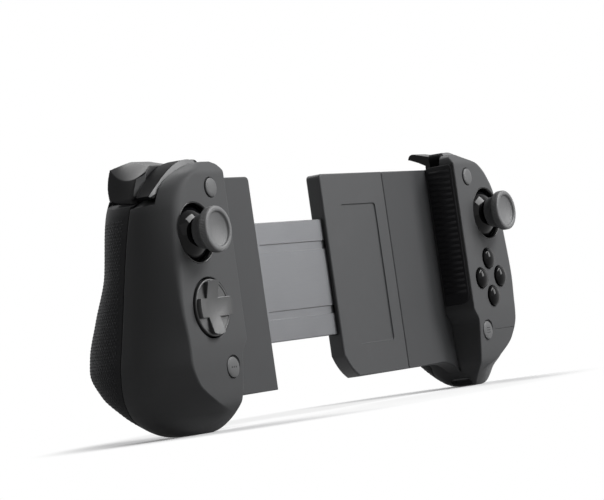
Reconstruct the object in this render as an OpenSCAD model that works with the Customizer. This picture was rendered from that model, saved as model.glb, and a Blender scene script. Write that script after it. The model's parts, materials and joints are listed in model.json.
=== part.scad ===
// Telescopic hand-held game controller: two full grips on a sliding bridge.
// Front (the controls) faces -Y, +X runs along the bridge and +Z is up.
// The grips stand on z = 0, and y = 0 lies midway between stick tops and grip backs.

/* [Slot] */
// Clear width between the two rubber end pads with the bridge at rest
slot_w = 160.4; // [150:0.2:175]
// Thickness of each end pad
pad_t = 1; // [0.6:0.1:2]
// Depth of the bridge's front face behind the control faces
seat_depth = 13.2; // [12:0.1:15]

/* [Handles] */
// Width of a handle, from its inner wall to its outermost point
handle_w = 43; // [41:0.5:50]
// Depth of a handle, from the control face to the back of the grip
handle_d = 48; // [46:0.5:54]
// Height of a handle
handle_h = 93.3; // [92:0.1:104]
// Wall of the shells
wall = 2.2; // [1.6:0.1:2.6]
// Depth of the parting line behind the face, at the handle's foot
seam_depth = 28; // [26:0.5:31]
// Lean of the parting line towards the face
seam_lean = 9; // [6:0.5:10]
// Gap along the parting line
seam_gap = 0.15; // [0.05:0.05:0.3]
// Width of the inner rim that the front shell wraps round to the back
rim_w = 5; // [4:0.5:8]

/* [Sticks] */
// Stick centre, outwards from the handle's inner wall
stick_u = 21.3; // [20:0.1:22]
// Stick centre, below the handle's top
stick_drop = 24.8; // [24.6:0.1:27]
// Bore of the stick well in the face
well_d = 20.5; // [19:0.1:21]
// Diameter of the stick cap
cap_d = 16; // [12:0.5:17]
// Thickness of the stick cap's head
cap_t = 4.6; // [3.6:0.1:5.4]
// Height of the stick cap's top above the face
stick_proud = 9.5; // [9:0.1:12]
// Depth of the stick's pivot behind the face
pivot_depth = 9.5; // [9:0.1:10]
// Radius of the ball-shaped skirt under the cap
skirt_r = 12; // [11.8:0.1:12.2]
// Skin of the skirt
skirt_t = 1.4; // [0.8:0.1:1.6]
// Half angle that the skirt covers
skirt_angle = 62; // [50:1:66]
// Travel of a stick when it is pressed
stick_press = 0.5; // [0.2:0.1:0.6]

/* [Direction pad] */
// Pad centre, outwards from the handle's inner wall
dpad_u = 18.8; // [17:0.1:20]
// Centre of the direction pad and of the button diamond, below the handle's top
dpad_drop = 50.9; // [49.6:0.1:52]
// Opening in the face
dpad_hole_d = 21.1; // [20:0.1:22]
// Diameter of the pad's disc
dpad_d = 19.9; // [18:0.1:20]
// Width of an arm of the cross
dpad_arm_w = 6.6; // [5:0.1:8]
// Height of the cross's tips above the face
dpad_proud = 2.6; // [1.5:0.1:4]

/* [Buttons] */
// Centre of the button diamond, outwards from the inner wall
diamond_u = 16.9; // [16:0.1:18]
// Distance of each button from the diamond's centre
diamond_r = 7.65; // [7.4:0.05:8.2]
// Diameter of a diamond button
button_d = 8.1; // [6:0.1:8.3]
// Height of a diamond button above the face
button_proud = 2; // [1:0.1:3]
// Diameter of the small upper button
top_button_d = 6.6; // [5:0.1:7]
// Diameter of the small lower button
low_button_d = 7.2; // [5:0.1:7.6]
// Height of the small buttons above the face
small_proud = 0.7; // [0.3:0.1:1.5]
// Travel of every button
button_travel = 1.2; // [0.5:0.1:1.5]
// Radial gap round every button
button_gap = 0.2; // [0.1:0.05:0.3]

/* [Trigger and bumper] */
// Width of the trigger
trigger_w = 22.5; // [20:0.5:24]
// Reach of the trigger's tip behind the face
trigger_reach = 27; // [26:0.5:28]
// Diameter of the trigger and bumper pins
pin_d = 2; // [1.5:0.1:2.4]
// Running clearance of a pin, on the radius
pin_gap = 0.05; // [0.02:0.01:0.1]
// Depth of the bay's front wall behind the face
bay_depth = 6.5; // [6:0.1:7]
// Depth of the bumper, front to back
bumper_d = 6.3; // [5:0.1:6.5]
// Gap between the bumper, the trigger and the bay
bay_gap = 0.35; // [0.2:0.05:0.5]

/* [Bridge] */
// Height of the bridge
bridge_h = 78; // [70:1:80]
// Thickness of the bridge
bridge_t = 6.3; // [5.5:0.1:7]
// Length of each handle's wing
wing_l = 34.7; // [30:0.1:40]
// Length of the outer sleeve
sleeve_l = 45.5; // [35:0.5:46]
// Height of the sliding tongue
tongue_h = 44; // [30:1:46]
// Thickness of the sliding tongue
tongue_t = 2.9; // [2:0.1:3.2]
// Length of tongue held in the left wing
tongue_root = 13.5; // [10:0.5:20]
// Length of tongue inside the sleeve at rest
tongue_lap = 30; // [20:1:31]
// Sliding clearance all round the tongue
slide_gap = 0.2; // [0.1:0.05:0.4]

/* [Inside] */
// Depth of the circuit board's front behind the face
board_depth = 13.5; // [13:0.1:14]
// Thickness of the circuit board
board_t = 1.2; // [0.8:0.1:1.6]
// Height of a key switch on the board
switch_h = 1.5; // [1:0.1:2]
// Diameter of the posts that carry the board
post_d = 4.8; // [4:0.1:5.5]
// Diameter of a screw
screw_d = 2; // [1.6:0.1:2.4]
// Length of a screw's shank
screw_l = 7; // [5:0.5:9]
// Length, width and thickness of the battery
battery = [28, 16, 8.3]; // [4:0.1:30]
// Corner of the battery, outwards from the inner wall and up from the foot
battery_at = [11, 22]; // [10:0.5:24]

/* [Hidden] */
$fn = 48;
eps = 0.01;

wall_u = slot_w / 2 + pad_t;
face_y = (stick_proud - handle_d) / 2;
drawn = [43, 48, 93.3];
grow = [handle_w / drawn.x, handle_d / drawn.y, handle_h / drawn.z];

// Sections of a handle, on a block 43 wide, 48 deep and 93.3 high, from the foot up.
// Each row: height, inner wall, face, crease, crease radius, outermost point,
// depth of that point, place of the rearmost point, its depth, depth of the inner rim.
sections = [
    [0, 12.3, 11.3, 17, 4, 22.5, 16, 17, 21, 17.5],
    [0.5, 10.6, 10.1, 16, 4.5, 26, 16.5, 17.5, 24, 18],
    [2.3, 7.8, 8.1, 14, 4, 30.5, 17.5, 18, 27.5, 20],
    [5.8, 5.3, 5.1, 11, 3, 35, 18.5, 18, 32, 21.5],
    [9.8, 4.1, 2.6, 18.5, 0.6, 38.8, 19.5, 17.5, 36.5, 22],
    [17.3, 3.6, 1.3, 30, 0.6, 42.2, 20.5, 17, 44, 22],
    [25.5, 3.3, 0.3, 34, 0.8, 43, 20.5, 17, 48, 22],
    [31, 0, 0, 34.2, 0.8, 42.5, 19.5, 17, 47.5, 21.5],
    [43, 0, 0, 34.2, 1.2, 41.3, 18.5, 17, 43, 21],
    [59, 0, 0, 33.3, 2, 39.8, 16.5, 16.8, 36.3, 20.5],
    [77, 0, 0, 30.6, 2.5, 37, 14.5, 15.8, 34.5, 20.5],
    [84.3, 0, 0, 26.3, 3, 32.8, 13.5, 15.3, 33.5, 20.5],
    [89, 0, 0, 20.5, 3, 25.8, 12.5, 13.8, 30, 20],
    [92, 0.7, 2, 12.5, 3, 17.5, 11.5, 11, 24, 18.5],
    [93.3, 2.8, 3.4, 9, 1.5, 12, 10.5, 7.5, 18, 15.5],
];
last = len(sections) - 1;

function mix(a, b, t) = a + (b - a) * t;
function secant(c, i) =
    (sections[i + 1][c] - sections[i][c]) / (sections[i + 1][0] - sections[i][0]);
function lean(c, i) =
    i == 0 ? secant(c, 0) :
    i == last ? secant(c, last - 1) :
    secant(c, i - 1) * secant(c, i) <= 0 ? 0 :
    2 * secant(c, i - 1) * secant(c, i) / (secant(c, i - 1) + secant(c, i));
// One section value between two rows, with no overshoot.
function between(c, i, t) =
    let (h = sections[i + 1][0] - sections[i][0])
    sections[i][c] * (1 + 2 * t) * (1 - t) * (1 - t) + h * lean(c, i) * t * (1 - t) * (1 - t)
    + sections[i + 1][c] * t * t * (3 - 2 * t) + h * lean(c, i + 1) * t * t * (t - 1);
function row(i, t) = concat(
    mix(sections[i][0], sections[i + 1][0], t),
    [for (c = [1:9]) between(c, i, t)]
);

// Points of a parabola from a to c that heads for b, without its last point.
function curve(a, b, c, n) =
    [for (k = [0:n - 1]) let (t = k / n) a * (1 - t) * (1 - t) + b * 2 * t * (1 - t) + c * t * t];
function unit(v) = v / norm(v);
// Points of a quarter turn about a centre, from its first reach to its second.
// A power of 1 is an ellipse, and less is fuller.
function quarter(centre, from, to, n, power = 1) =
    [for (k = [0:n]) let (a = 90 * k / n) centre + from * pow(cos(a), power) + to * pow(sin(a), power)];
// Power of the rounding from a handle's outermost point to its rearmost one.
palm = 0.77;

// Outline of one section, inset by w, as points outwards and backwards from the face's inner edge.
function outline(r, w, n) =
    let (
        inner = r[1] * grow.x + w,
        face = r[2] * grow.y + w,
        crease = r[3] * grow.x - w * 0.6,
        out = [r[5] * grow.x - w, r[6] * grow.y],
        rear = [r[7] * grow.x, r[8] * grow.y - w],
        rim = r[9] * grow.y,
        bend = min(r[4], 0.8 * (crease - inner)),
        corner = [crease, face],
        guide = [out.x, mix(face, out.y, 0.55)],
        side = corner + unit(guide - corner) * bend
    )
    concat(
        [[inner, face]],
        curve([crease - bend, face], corner, side, 3),
        curve(side, guide, out, n),
        quarter([rear.x, out.y], [out.x - rear.x, 0], [0, rear.y - out.y], n + 1, palm),
        [for (k = [1:n]) quarter([rear.x, rim], [0, rear.y - rim], [inner - rear.x, 0], n)[k]]
    );

// Smooth solid through the sections, inset by w, with n steps on each quarter
// and m levels to a row.
module loft(w, n, m) {
    rows = [
        for (i = [0:last - 1], k = [0:m - 1]) row(i, k / m),
        row(last - 1, 1)
    ];
    size = len(outline(rows[0], w, n));
    top = len(rows) - 1;
    points = [for (r = rows, p = outline(r, w, n))
        [p.x, p.y, mix(w, handle_h - w, r[0] / drawn.z)]];
    sides = [for (j = [0:top - 1], k = [0:size - 1])
        let (a = j * size + k, b = j * size + (k + 1) % size)
        each [[a, a + size, b], [b, a + size, b + size]]];
    foot = [for (k = [1:size - 2]) [0, k, k + 1]];
    head = [for (k = [1:size - 2]) [top * size, top * size + k + 1, top * size + k]];
    polyhedron(points, concat(sides, foot, head));
}

// Inner wall of a handle at one height.
function wall_at(z) = lookup(z, [for (r = sections) [r[0] * grow.z, r[1] * grow.x]]);
// Depth of the receding face at one height.
function face_at(z) = lookup(z, [for (r = sections) [r[0] * grow.z, r[2] * grow.y]]);

// Handle space: outwards from the inner wall, backwards from the face, up from the foot.
module on_handle(side) {
    if (side > 0) translate([wall_u, face_y, 0]) children();
    else mirror([1, 0, 0]) translate([wall_u, face_y, 0]) children();
}
// Stands children on the face, their z axis pointing out of it.
module on_face(u, z) translate([u, 0, z]) rotate([90, 0, 0]) children();
// Plate of thickness t that starts at a depth behind the face.
module behind(depth, t) translate([0, depth + t, 0]) rotate([90, 0, 0])
    linear_extrude(t) children();
// Points at a radius round a centre.
function around(centre, r, angles) = [for (a = angles) centre + r * [cos(a), sin(a)]];

// Places on a handle
stick_z = handle_h - stick_drop;
dpad_z = handle_h - dpad_drop;
top_button = [9.4, handle_h - 9.5];
small_flange = 0.35;
side_gap = 0.2;
low_z = 21.3 * grow.z;
low_button = [wall_at(low_z) + wall + side_gap + low_button_d / 2 + small_flange, low_z];
posts = [
    [7.3, stick_z + 6.8],
    [7.2, (stick_z + dpad_z) / 2],
    [28.4, dpad_z + 10.9],
    [24.8 * grow.x, 18.3 * grow.z],
];
diamond = around([diamond_u, dpad_z], diamond_r, [90, 0, 270, 180]);
lug = [1.4, 4.4, 3.4];
switch_w = 3.6;
dpad_leg_r = lug.x + lug.y + side_gap + switch_w / 2 + 0.1;
rocks = around([dpad_u, dpad_z], dpad_leg_r, [0:90:270]);
bridge_low = 10.8;
bridge_top = bridge_low + bridge_h;
bridge_mid = seat_depth + bridge_t / 2;
tongue_z = bridge_low + bridge_h / 2;
wing_screws = [17.3, bridge_top - 11.3];
wing_end = wall_u - wing_l;
sleeve_end = wing_end - sleeve_l;
screw_head = [3.8, 1.5];
screw_gap = 0.02;
screw_end = 0.5;
head_gap = 0.3;

// Places of the trigger in its bay
trigger_in = 9.8;
trigger_out = trigger_in + trigger_w;
trigger_front = bay_depth + bumper_d + 2 * bay_gap;
lug_r = 2.4;

// Bay for trigger and bumper
bay_wall = 1.5;
bay_floor = handle_h - 10.5;
bay_in = wall + 0.4;
bay_chamfer = 1.4;
bay_shoulder = [handle_w - 16.2, 8, 3.5];
// The well that the trigger sinks into: its two ends in depth, its inner wall and its drop.
bay_well = [trigger_front + 2 * lug_r + side_gap, trigger_reach + 2, trigger_in - 1.3, 3];
over = 9;
module bay(g) {
    behind(bay_depth - g, handle_d) polygon([
        [-over, handle_h + over],
        [-over, bridge_top - g],
        [bay_in - g, bridge_top - g],
        [bay_in - g, bay_floor + bay_chamfer - g],
        [bay_in + bay_chamfer - g, bay_floor - g],
        [bay_shoulder.x, bay_floor - g],
        [bay_shoulder.x + bay_shoulder.y, bay_floor - bay_shoulder.z - g],
        [handle_w + over, bay_floor - bay_shoulder.z - g],
        [handle_w + over, handle_h + over],
    ]);
    translate([bay_well[2] - g, bay_well[0] - g, bay_floor - bay_well[3] - g])
        cube([handle_w, bay_well[1] - bay_well[0] + 2 * g, bay_well[3] + 2 * g + 1]);
}

// Hollow handle before it is parted.
module hollow_handle() difference() {
    loft(0, 7, 2);
    bay(0);
    difference() {
        loft(wall, 5, 1);
        bay(bay_wall);
    }
}
// Everything behind the parting line.
module rear_half(g) translate([rim_w + g, seam_depth + g, 0]) rotate([seam_lean, 0, 0])
    translate([0, 0, -over]) cube([handle_w + over, handle_d + over, handle_h + 3 * over]);

post_sink = 0.3;
module drill(u, z, d) on_face(u, z) translate([0, 0, -2 * wall]) cylinder(d = d, h = 3 * wall);
// Room for the ball-shaped skirt at every tilt.
module skirt_room() on_face(stick_u, stick_z) at_pivot() sphere(r = skirt_r + side_gap + 0.1);
module front_shell(side) difference() {
    union() {
        difference() {
            hollow_handle();
            rear_half(0);
        }
        for (p = posts) on_face(p.x, p.y) translate([0, 0, -board_depth])
            cylinder(d = post_d, h = board_depth - wall + post_sink);
    }
    drill(stick_u, stick_z, well_d);
    skirt_room();
    drill(top_button.x, top_button.y, top_button_d + 2 * button_gap);
    drill(low_button.x, low_button.y, low_button_d + 2 * button_gap);
    if (side < 0) drill(dpad_u, dpad_z, dpad_hole_d);
    else for (p = diamond) drill(p.x, p.y, button_d + 2 * button_gap);
    for (p = posts) on_face(p.x, p.y) translate([0, 0, -board_depth - eps])
        cylinder(d = screw_d + 2 * screw_gap, h = screw_l);
    for (z = wing_screws) translate([-1, bridge_mid, z]) rotate([0, 90, 0])
        cylinder(d = screw_d + 2 * screw_gap, h = wall_at(z) + wall + 2);
    at_bumper_pin(bay_depth - bay_wall - 1) cylinder(d = pin_d + 2 * screw_gap, h = bay_wall + 2);
    if (side > 0) translate([port.x, port.y, -1])
        linear_extrude(port.z + 2) port_outline(port_gap);
}
module rear_grip() intersection() {
    hollow_handle();
    rear_half(seam_gap);
}

module left_front_shell() color("#3c3d40") on_handle(-1) front_shell(-1);
module right_front_shell() color("#3c3d40") on_handle(1) front_shell(1);
module left_rear_grip() color("#2b2c2e") on_handle(-1) rear_grip();
module right_rear_grip() color("#2b2c2e") on_handle(1) rear_grip();

// Rubber pads at the slot's ends
pad_ribs = 14;
pad_edge = [1.2, seat_depth - 0.6];
pad_foot = 33;
pad_head = handle_h - 4;
pad_corner = [4, 1.5];
rib_t = 0.25;
rib_inset = 0.8;
module slot_pad() {
    step = (pad_head - pad_foot - pad_corner.x - pad_corner.y) / pad_ribs;
    translate([rib_t - pad_t, 0, 0]) rotate([90, 0, 90]) linear_extrude(pad_t - rib_t) polygon([
        [pad_edge.x + pad_corner.x, pad_foot],
        [pad_edge.y, pad_foot],
        [pad_edge.y, pad_head],
        [pad_edge.x + pad_corner.y, pad_head],
        [pad_edge.x, pad_head - pad_corner.y],
        [pad_edge.x, pad_foot + pad_corner.x],
    ]);
    for (k = [1:pad_ribs])
        translate([-pad_t, pad_edge.x + rib_inset, pad_foot + pad_corner.x + (k - 0.75) * step])
            cube([rib_t, pad_edge.y - pad_edge.x - 2 * rib_inset, step / 2]);
}
module left_slot_pad() color("#141415") on_handle(-1) slot_pad();
module right_slot_pad() color("#141415") on_handle(1) slot_pad();

// Sliding bridge
root_gap = 0.2;
root_low = 6;
root_levels = [root_low, 10, 17, 24];
root_top = 29.5 * grow.z;
flare_u = -9;
bridge_chamfer = 2;
channel = [tongue_h + 2 * slide_gap, tongue_t + 2 * slide_gap];
channel_end = 1.5;
module wing(side) difference() {
    behind(seat_depth, bridge_t) polygon(concat(
        [[0, bridge_top], [bridge_chamfer - wing_l, bridge_top]],
        [[-wing_l, bridge_top - bridge_chamfer], [-wing_l, bridge_low]],
        curve([flare_u, bridge_low], [-1, bridge_low], [wall_at(root_low) - root_gap, root_low], 6),
        [for (z = root_levels) [wall_at(z) - root_gap, z]],
        [[0, root_top]]
    ));
    for (z = wing_screws) translate([wall_at(z) + 1, bridge_mid, z]) rotate([0, -90, 0])
        cylinder(d = screw_d + 2 * screw_gap, h = screw_l);
    if (side < 0) translate([-wing_l - eps, bridge_mid - tongue_t / 2, tongue_z - tongue_h / 2])
        cube([tongue_root + eps, tongue_t, tongue_h]);
    else translate([-wing_l - eps, bridge_mid - channel.y / 2, tongue_z - channel.x / 2])
        cube([wing_l - channel_end, channel.y, channel.x]);
}
module left_wing() color("#4a4b4e") on_handle(-1) wing(-1);
module right_wing() color("#4a4b4e") on_handle(1) wing(1);
module bridge_tongue() color("#55565a") {
    translate([-wing_end - tongue_root, face_y + bridge_mid - tongue_t / 2, tongue_z - tongue_h / 2])
        cube([tongue_root + wing_end + sleeve_end + tongue_lap, tongue_t, tongue_h]);
}
sleeve_chamfer = 9;
module bridge_sleeve() color("#26272a") difference() {
    translate([0, face_y, 0]) behind(seat_depth, bridge_t) polygon([
        [sleeve_end + sleeve_chamfer, bridge_low],
        [wing_end, bridge_low],
        [wing_end, bridge_top],
        [sleeve_end + bridge_chamfer, bridge_top],
        [sleeve_end, bridge_top - bridge_chamfer],
        [sleeve_end, bridge_low + sleeve_chamfer],
    ]);
    translate([sleeve_end - 1, face_y + bridge_mid - channel.y / 2, tongue_z - channel.x / 2])
        cube([sleeve_l + 2, channel.y, channel.x]);
}

// Circuit boards, switches, battery and screws
// The board's edge follows the handle; its top stays below the bay.
board_in = 5.2;
board_top = bay_floor - 4.8;
board_edge = [[31.5, 70], [32.5, 50], [32.5, 30], [28, 14.5], [8.6, 14.5], [8.6, 26]];
board_hole = screw_d + 0.3;
module board() difference() {
    behind(board_depth, board_t) polygon(concat(
        [[board_in, 34 * grow.z], [board_in, board_top], [27.5 * grow.x, board_top]],
        [for (p = board_edge) [p.x * grow.x, p.y * grow.z]]
    ));
    for (p = posts) on_face(p.x, p.y) translate([0, 0, -board_depth - board_t - 1])
        cylinder(d = board_hole, h = board_t + 2);
}
module left_board() color("#1f4d35") on_handle(-1) board();
module right_board() color("#1f4d35") on_handle(1) board();

dome = [4, 0.6];
plunger_d = 2;
module key_switch() {
    translate([-switch_w / 2, -switch_w / 2, 0]) cube([switch_w, switch_w, switch_h * 0.7]);
    cylinder(d = plunger_d, h = switch_h);
}
module switches(side) {
    places = concat([low_button], side < 0 ? rocks : diamond);
    for (p = places) on_face(p.x, p.y) translate([0, 0, -board_depth]) key_switch();
    on_face(top_button.x, top_button.y) translate([0, 0, bay_wall - bay_depth])
        cylinder(d = dome.x, h = dome.y);
}
module left_switches() color("silver") on_handle(-1) switches(-1);
module right_switches() color("silver") on_handle(1) switches(1);

module screw() {
    cylinder(d = screw_d, h = screw_l - screw_end);
    translate([0, 0, -screw_head.y]) cylinder(d = screw_head.x, h = screw_head.y);
}
module screws() {
    for (p = posts) on_face(p.x, p.y) translate([0, 0, -board_depth - board_t]) screw();
    for (z = wing_screws) translate([wall_at(z) + wall + head_gap, bridge_mid, z])
        rotate([0, -90, 0]) screw();
}
module left_screws() color("#8a8c90") on_handle(-1) screws();
module right_screws() color("#8a8c90") on_handle(1) screws();

module battery_cell() color("#9aa0a6") on_handle(-1)
    translate([battery_at.x, board_depth + board_t, battery_at.y])
        cube([battery.y, battery.z, battery.x]);

// Charging port
port = [8.6, 15.5, 10];
port_gap = 0.15;
port_size = [3.2, 9];
port_lip = 0.35;
port_low = 2.8;
port_blade = [0.7, 6.6, port.z - 4];
module port_outline(g) round_slot(port_size.x + 2 * g, port_size.y + 2 * g);
module round_slot(w, l) {
    square([w, l - w], center = true);
    for (s = [-1, 1]) translate([0, s * (l - w) / 2]) circle(d = w);
}
module charge_port() color("#c9cbce") on_handle(1) translate([port.x, port.y, port_low]) {
    difference() {
        linear_extrude(port.z - port_low) port_outline(0);
        translate([0, 0, -1]) linear_extrude(port.z - 3) port_outline(-port_lip);
    }
    translate([-port_blade.x / 2, -port_blade.y / 2, 0.8]) cube(port_blade);
}

// Thumb sticks, drawn on the face with the pivot below it
skirt_in = skirt_r - skirt_t;
ring_w = 1.1;
ring_t = 0.5;
spindle_d = 3.2;
gimbal = [8.2, 11, 2];
gimbal_pin = 1.6;
spindle_pin = 1.2;
module_w = 15;
module_bore = 12.4;
module_front = 6;
module_floor = 0.6;
cap_seat = stick_proud - cap_t;
spindle_top = cap_seat + cap_t * 0.45;
neck_d = 8.4;
neck_gap = 0.05;
function arc(r, a, b, n) = [for (k = [0:n]) let (t = mix(a, b, k / n)) [r * sin(t), r * cos(t)]];

module stick(side) on_handle(side) on_face(stick_u, stick_z) children();
module at_pivot() translate([0, 0, -pivot_depth]) children();

module stick_module() difference() {
    translate([0, 0, -board_depth]) intersection() {
        translate([-module_w / 2, -module_w / 2, 0])
            cube([module_w, module_w, board_depth - module_front]);
        cylinder(d = 1.2 * module_w, h = board_depth);
    }
    translate([0, 0, module_floor - board_depth]) cylinder(d = module_bore, h = board_depth);
    at_pivot() rotate([90, 0, 0])
        cylinder(d = gimbal_pin + 2 * pin_gap, h = 2 * module_w, center = true);
}
module stick_yoke() at_pivot() difference() {
    union() {
        translate([0, 0, -gimbal.z / 2]) cylinder(d = gimbal.y, h = gimbal.z);
        rotate([90, 0, 0]) cylinder(d = gimbal_pin, h = module_w - 0.4, center = true);
    }
    translate([0, 0, -gimbal.z]) cylinder(d = gimbal.x, h = 2 * gimbal.z);
    rotate([0, 90, 0]) cylinder(d = spindle_pin + 2 * pin_gap, h = module_w, center = true);
}
module stick_spindle() {
    at_pivot() {
        sphere(d = 1.5 * spindle_d);
        rotate([0, 90, 0]) cylinder(d = spindle_pin, h = gimbal.y - 0.4, center = true);
        cylinder(d = spindle_d, h = pivot_depth + spindle_top);
    }
}
module stick_skirt() difference() {
    union() {
        at_pivot() rotate_extrude() polygon(concat(
            arc(skirt_r, 0, skirt_angle, 12),
            arc(skirt_in, skirt_angle, 0, 12)
        ));
        translate([0, 0, skirt_in - pivot_depth])
            cylinder(d = neck_d, h = cap_seat - skirt_in + pivot_depth);
    }
    cylinder(d = spindle_d + 2 * pin_gap, h = 4 * stick_proud, center = true);
}
// The cap's collar reaches down round the neck, close to the skirt.
cap_r = cap_d / 2;
collar = [neck_d / 2 + neck_gap, 0.75 * cap_r];
collar_low = sqrt(skirt_r * skirt_r - collar[0] * collar[0]) - pivot_depth + side_gap;
cap_rim = 1.9;
cap_lip = 0.5;
cap_dish = 0.8;
module stick_cap() difference() {
    rotate_extrude() polygon(concat(
        [[0, cap_seat], [collar[0], cap_seat], [collar[0], collar_low], [collar[1], collar_low]],
        curve([collar[1], collar_low + 0.6], [collar[1], cap_seat], [cap_r, stick_proud - 2.2], 5),
        [[cap_r, stick_proud - 2.2], [cap_r, stick_proud - 0.8], [cap_r - 0.5, stick_proud - 0.2]],
        [[cap_r - 1, stick_proud], [cap_r - 1.5, stick_proud - 0.1]],
        [for (k = [0:6]) let (t = k / 6)
            [(cap_r - cap_rim) * (1 - t), stick_proud - cap_lip - cap_dish * t * (2 - t)]]
    ));
    translate([0, 0, -1])
        cylinder(d = spindle_d + 2 * pin_gap, h = spindle_top + stick_press + side_gap + 1);
}
module stick_ring() rotate_extrude() polygon([
    [well_d / 2, 0],
    [well_d / 2 + ring_w, 0],
    [well_d / 2 + ring_w - 0.3, ring_t],
    [well_d / 2 + 0.3, ring_t],
]);
module left_stick_module() color("#8a8c90") stick(-1) stick_module();
module right_stick_module() color("#8a8c90") stick(1) stick_module();
module left_stick_yoke() color("#b8babd") stick(-1) stick_yoke();
module right_stick_yoke() color("#b8babd") stick(1) stick_yoke();
module left_stick_spindle() color("#d0d2d4") stick(-1) stick_spindle();
module right_stick_spindle() color("#d0d2d4") stick(1) stick_spindle();
module left_stick_skirt() color("#0d0d0e") stick(-1) stick_skirt();
module right_stick_skirt() color("#0d0d0e") stick(1) stick_skirt();
module left_stick_cap() color("#2a2b2d") stick(-1) stick_cap();
module right_stick_cap() color("#2a2b2d") stick(1) stick_cap();
module left_stick_ring() color("#18191a") stick(-1) stick_ring();
module right_stick_ring() color("#18191a") stick(1) stick_ring();

// Direction pad on a cross-shaped rocker
rocker_depth = 3.8;
rocker_d = 2;
rocker_l = 2 * (lug.x + lug.y);
bracket_t = 1.2;
leg_d = 2.4;
dpad_floor = 1;
dpad_dish = 34;
dpad_hollow = 0.9;
dpad_inset = 0.4;
module dpad() on_handle(-1) on_face(dpad_u, dpad_z) children();
module dpad_lugs(low, high, d) difference() {
    for (s = [-1, 1]) translate([s * (lug.y + lug.x / 2) - lug.x / 2, -lug.z / 2, low])
        cube([lug.x, lug.z, high - low]);
    translate([0, 0, -rocker_depth]) rotate([0, 90, 0])
        cylinder(d = d, h = 2 * rocker_l, center = true);
}
module dpad_bracket() color("#6d6f73") dpad() {
    translate([-rocker_l / 2, -lug.z / 2, -board_depth]) cube([rocker_l, lug.z, bracket_t]);
    dpad_lugs(-board_depth, -rocker_depth + 1.9, rocker_d + 2 * pin_gap);
}
module dpad_rocker() color("#b8babd") dpad() translate([0, 0, -rocker_depth]) {
    rotate([0, 90, 0]) cylinder(d = rocker_d, h = rocker_l, center = true);
    rotate([90, 0, 0]) cylinder(d = rocker_d, h = rocker_l, center = true);
}
module dpad_cap() color("#303134") dpad() {
    difference() {
        union() {
            translate([0, 0, -dpad_floor]) cylinder(d = dpad_d, h = dpad_floor + 0.5);
            for (a = [0, 90]) rotate(a) translate([dpad_inset - dpad_d / 2, -dpad_arm_w / 2, 0])
                cube([dpad_d - 2 * dpad_inset, dpad_arm_w, dpad_proud]);
        }
        translate([0, 0, dpad_dish + dpad_hollow]) sphere(r = dpad_dish);
    }
    rotate(90) dpad_lugs(-rocker_depth - 1.6, -dpad_floor, rocker_d + 2 * pin_gap);
    for (a = [0:90:270]) rotate(a) translate([dpad_leg_r, 0, -leg_end])
        cylinder(d = leg_d, h = leg_end - dpad_floor);
}
rock_room = 0.65;
leg_end = board_depth - switch_h - rock_room;

// Push buttons: crown, body, flange behind the face, stem to the switch
flange_t = 0.6;
flange_w = 0.85;
stem_r = 1.3;
seat_gap = 0.1;
small_seat = 0.3;
button_crown = 1.1;
small_crown = 0.35;
stem_end = board_depth - switch_h - button_travel - seat_gap;
short_end = bay_depth - bay_wall - dome.y - button_travel - seat_gap;
module push_button(p, d, flange, proud, crown, end, seat) on_face(p.x, p.y)
    rotate_extrude() polygon(concat(
        [[0, -end], [stem_r, -end], [stem_r, -seat - flange_t]],
        [[d / 2 + flange, -seat - flange_t], [d / 2 + flange, -seat], [d / 2, -seat]],
        quarter([0, proud - crown], [d / 2, 0], [0, crown], 6)
    ));
module diamond_button(k) color("#101011") on_handle(1)
    push_button(diamond[k], button_d, flange_w, button_proud, button_crown, stem_end, wall + seat_gap);
module face_button_north() diamond_button(0);
module face_button_east() diamond_button(1);
module face_button_south() diamond_button(2);
module face_button_west() diamond_button(3);
module small_button(side, p, d, end) color("#2f3033") on_handle(side) push_button(
    p, d, small_flange, small_proud - face_at(p.y), small_crown, end,
    wall + small_seat + face_at(p.y - d / 2 - small_flange)
);
module left_top_button() small_button(-1, top_button, top_button_d, short_end);
module right_top_button() small_button(1, top_button, top_button_d, short_end);
module left_low_button() small_button(-1, low_button, low_button_d, stem_end);
module right_low_button() small_button(1, low_button, low_button_d, stem_end);

// Trigger on its bracket, and bumper
trigger_rise = 14.2;
trigger_crown = bay_floor + trigger_rise + 0.6;
lug_u = [19, 4];
lug_foot = [4, 1.2];
lug_gap = 0.25;
lug_slot = [6, 7.6];
trigger_pin = [trigger_front + lug_r, bay_floor + 4.5];
pin_cover = 2.5;
// A point of the trigger's side, backwards from its front and up from the bay's floor.
function from_front(back, up) = [trigger_front + back, bay_floor + up];
// A point of its tip, backwards from the trigger's reach.
function from_tip(back, up) = [trigger_reach + back, bay_floor + up];
trigger_side = concat(
    [from_front(0, 5.8)],
    curve(from_front(0, 11.4), from_front(6, 12.6), from_tip(-2.2, trigger_rise), 5),
    curve(from_tip(-2.2, trigger_rise), from_tip(0.3, trigger_rise + 0.4), from_tip(0, 11.8), 4),
    curve(from_tip(0, 11.8), from_tip(-2.6, 8.6), from_tip(-1.6, 2.6), 6),
    [from_tip(-1.6, 2.6), from_tip(-2.6, -0.4), from_front(7, -0.4), from_front(6.5, 2)],
    [from_front(1.5, 2.2)]
);
trigger_brow = concat(
    [[trigger_in, bay_floor - 1], [trigger_in, trigger_crown - 1], [trigger_in + 1, trigger_crown]],
    curve(
        [trigger_in + 9.7, trigger_crown],
        [trigger_out - 0.8, bay_floor + 13.8],
        [trigger_out, bay_floor + 6.5],
        8
    ),
    [[trigger_out, bay_floor + 6.5], [trigger_out, bay_floor + 2], [trigger_out - 1.2, bay_floor - 1]]
);
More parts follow.
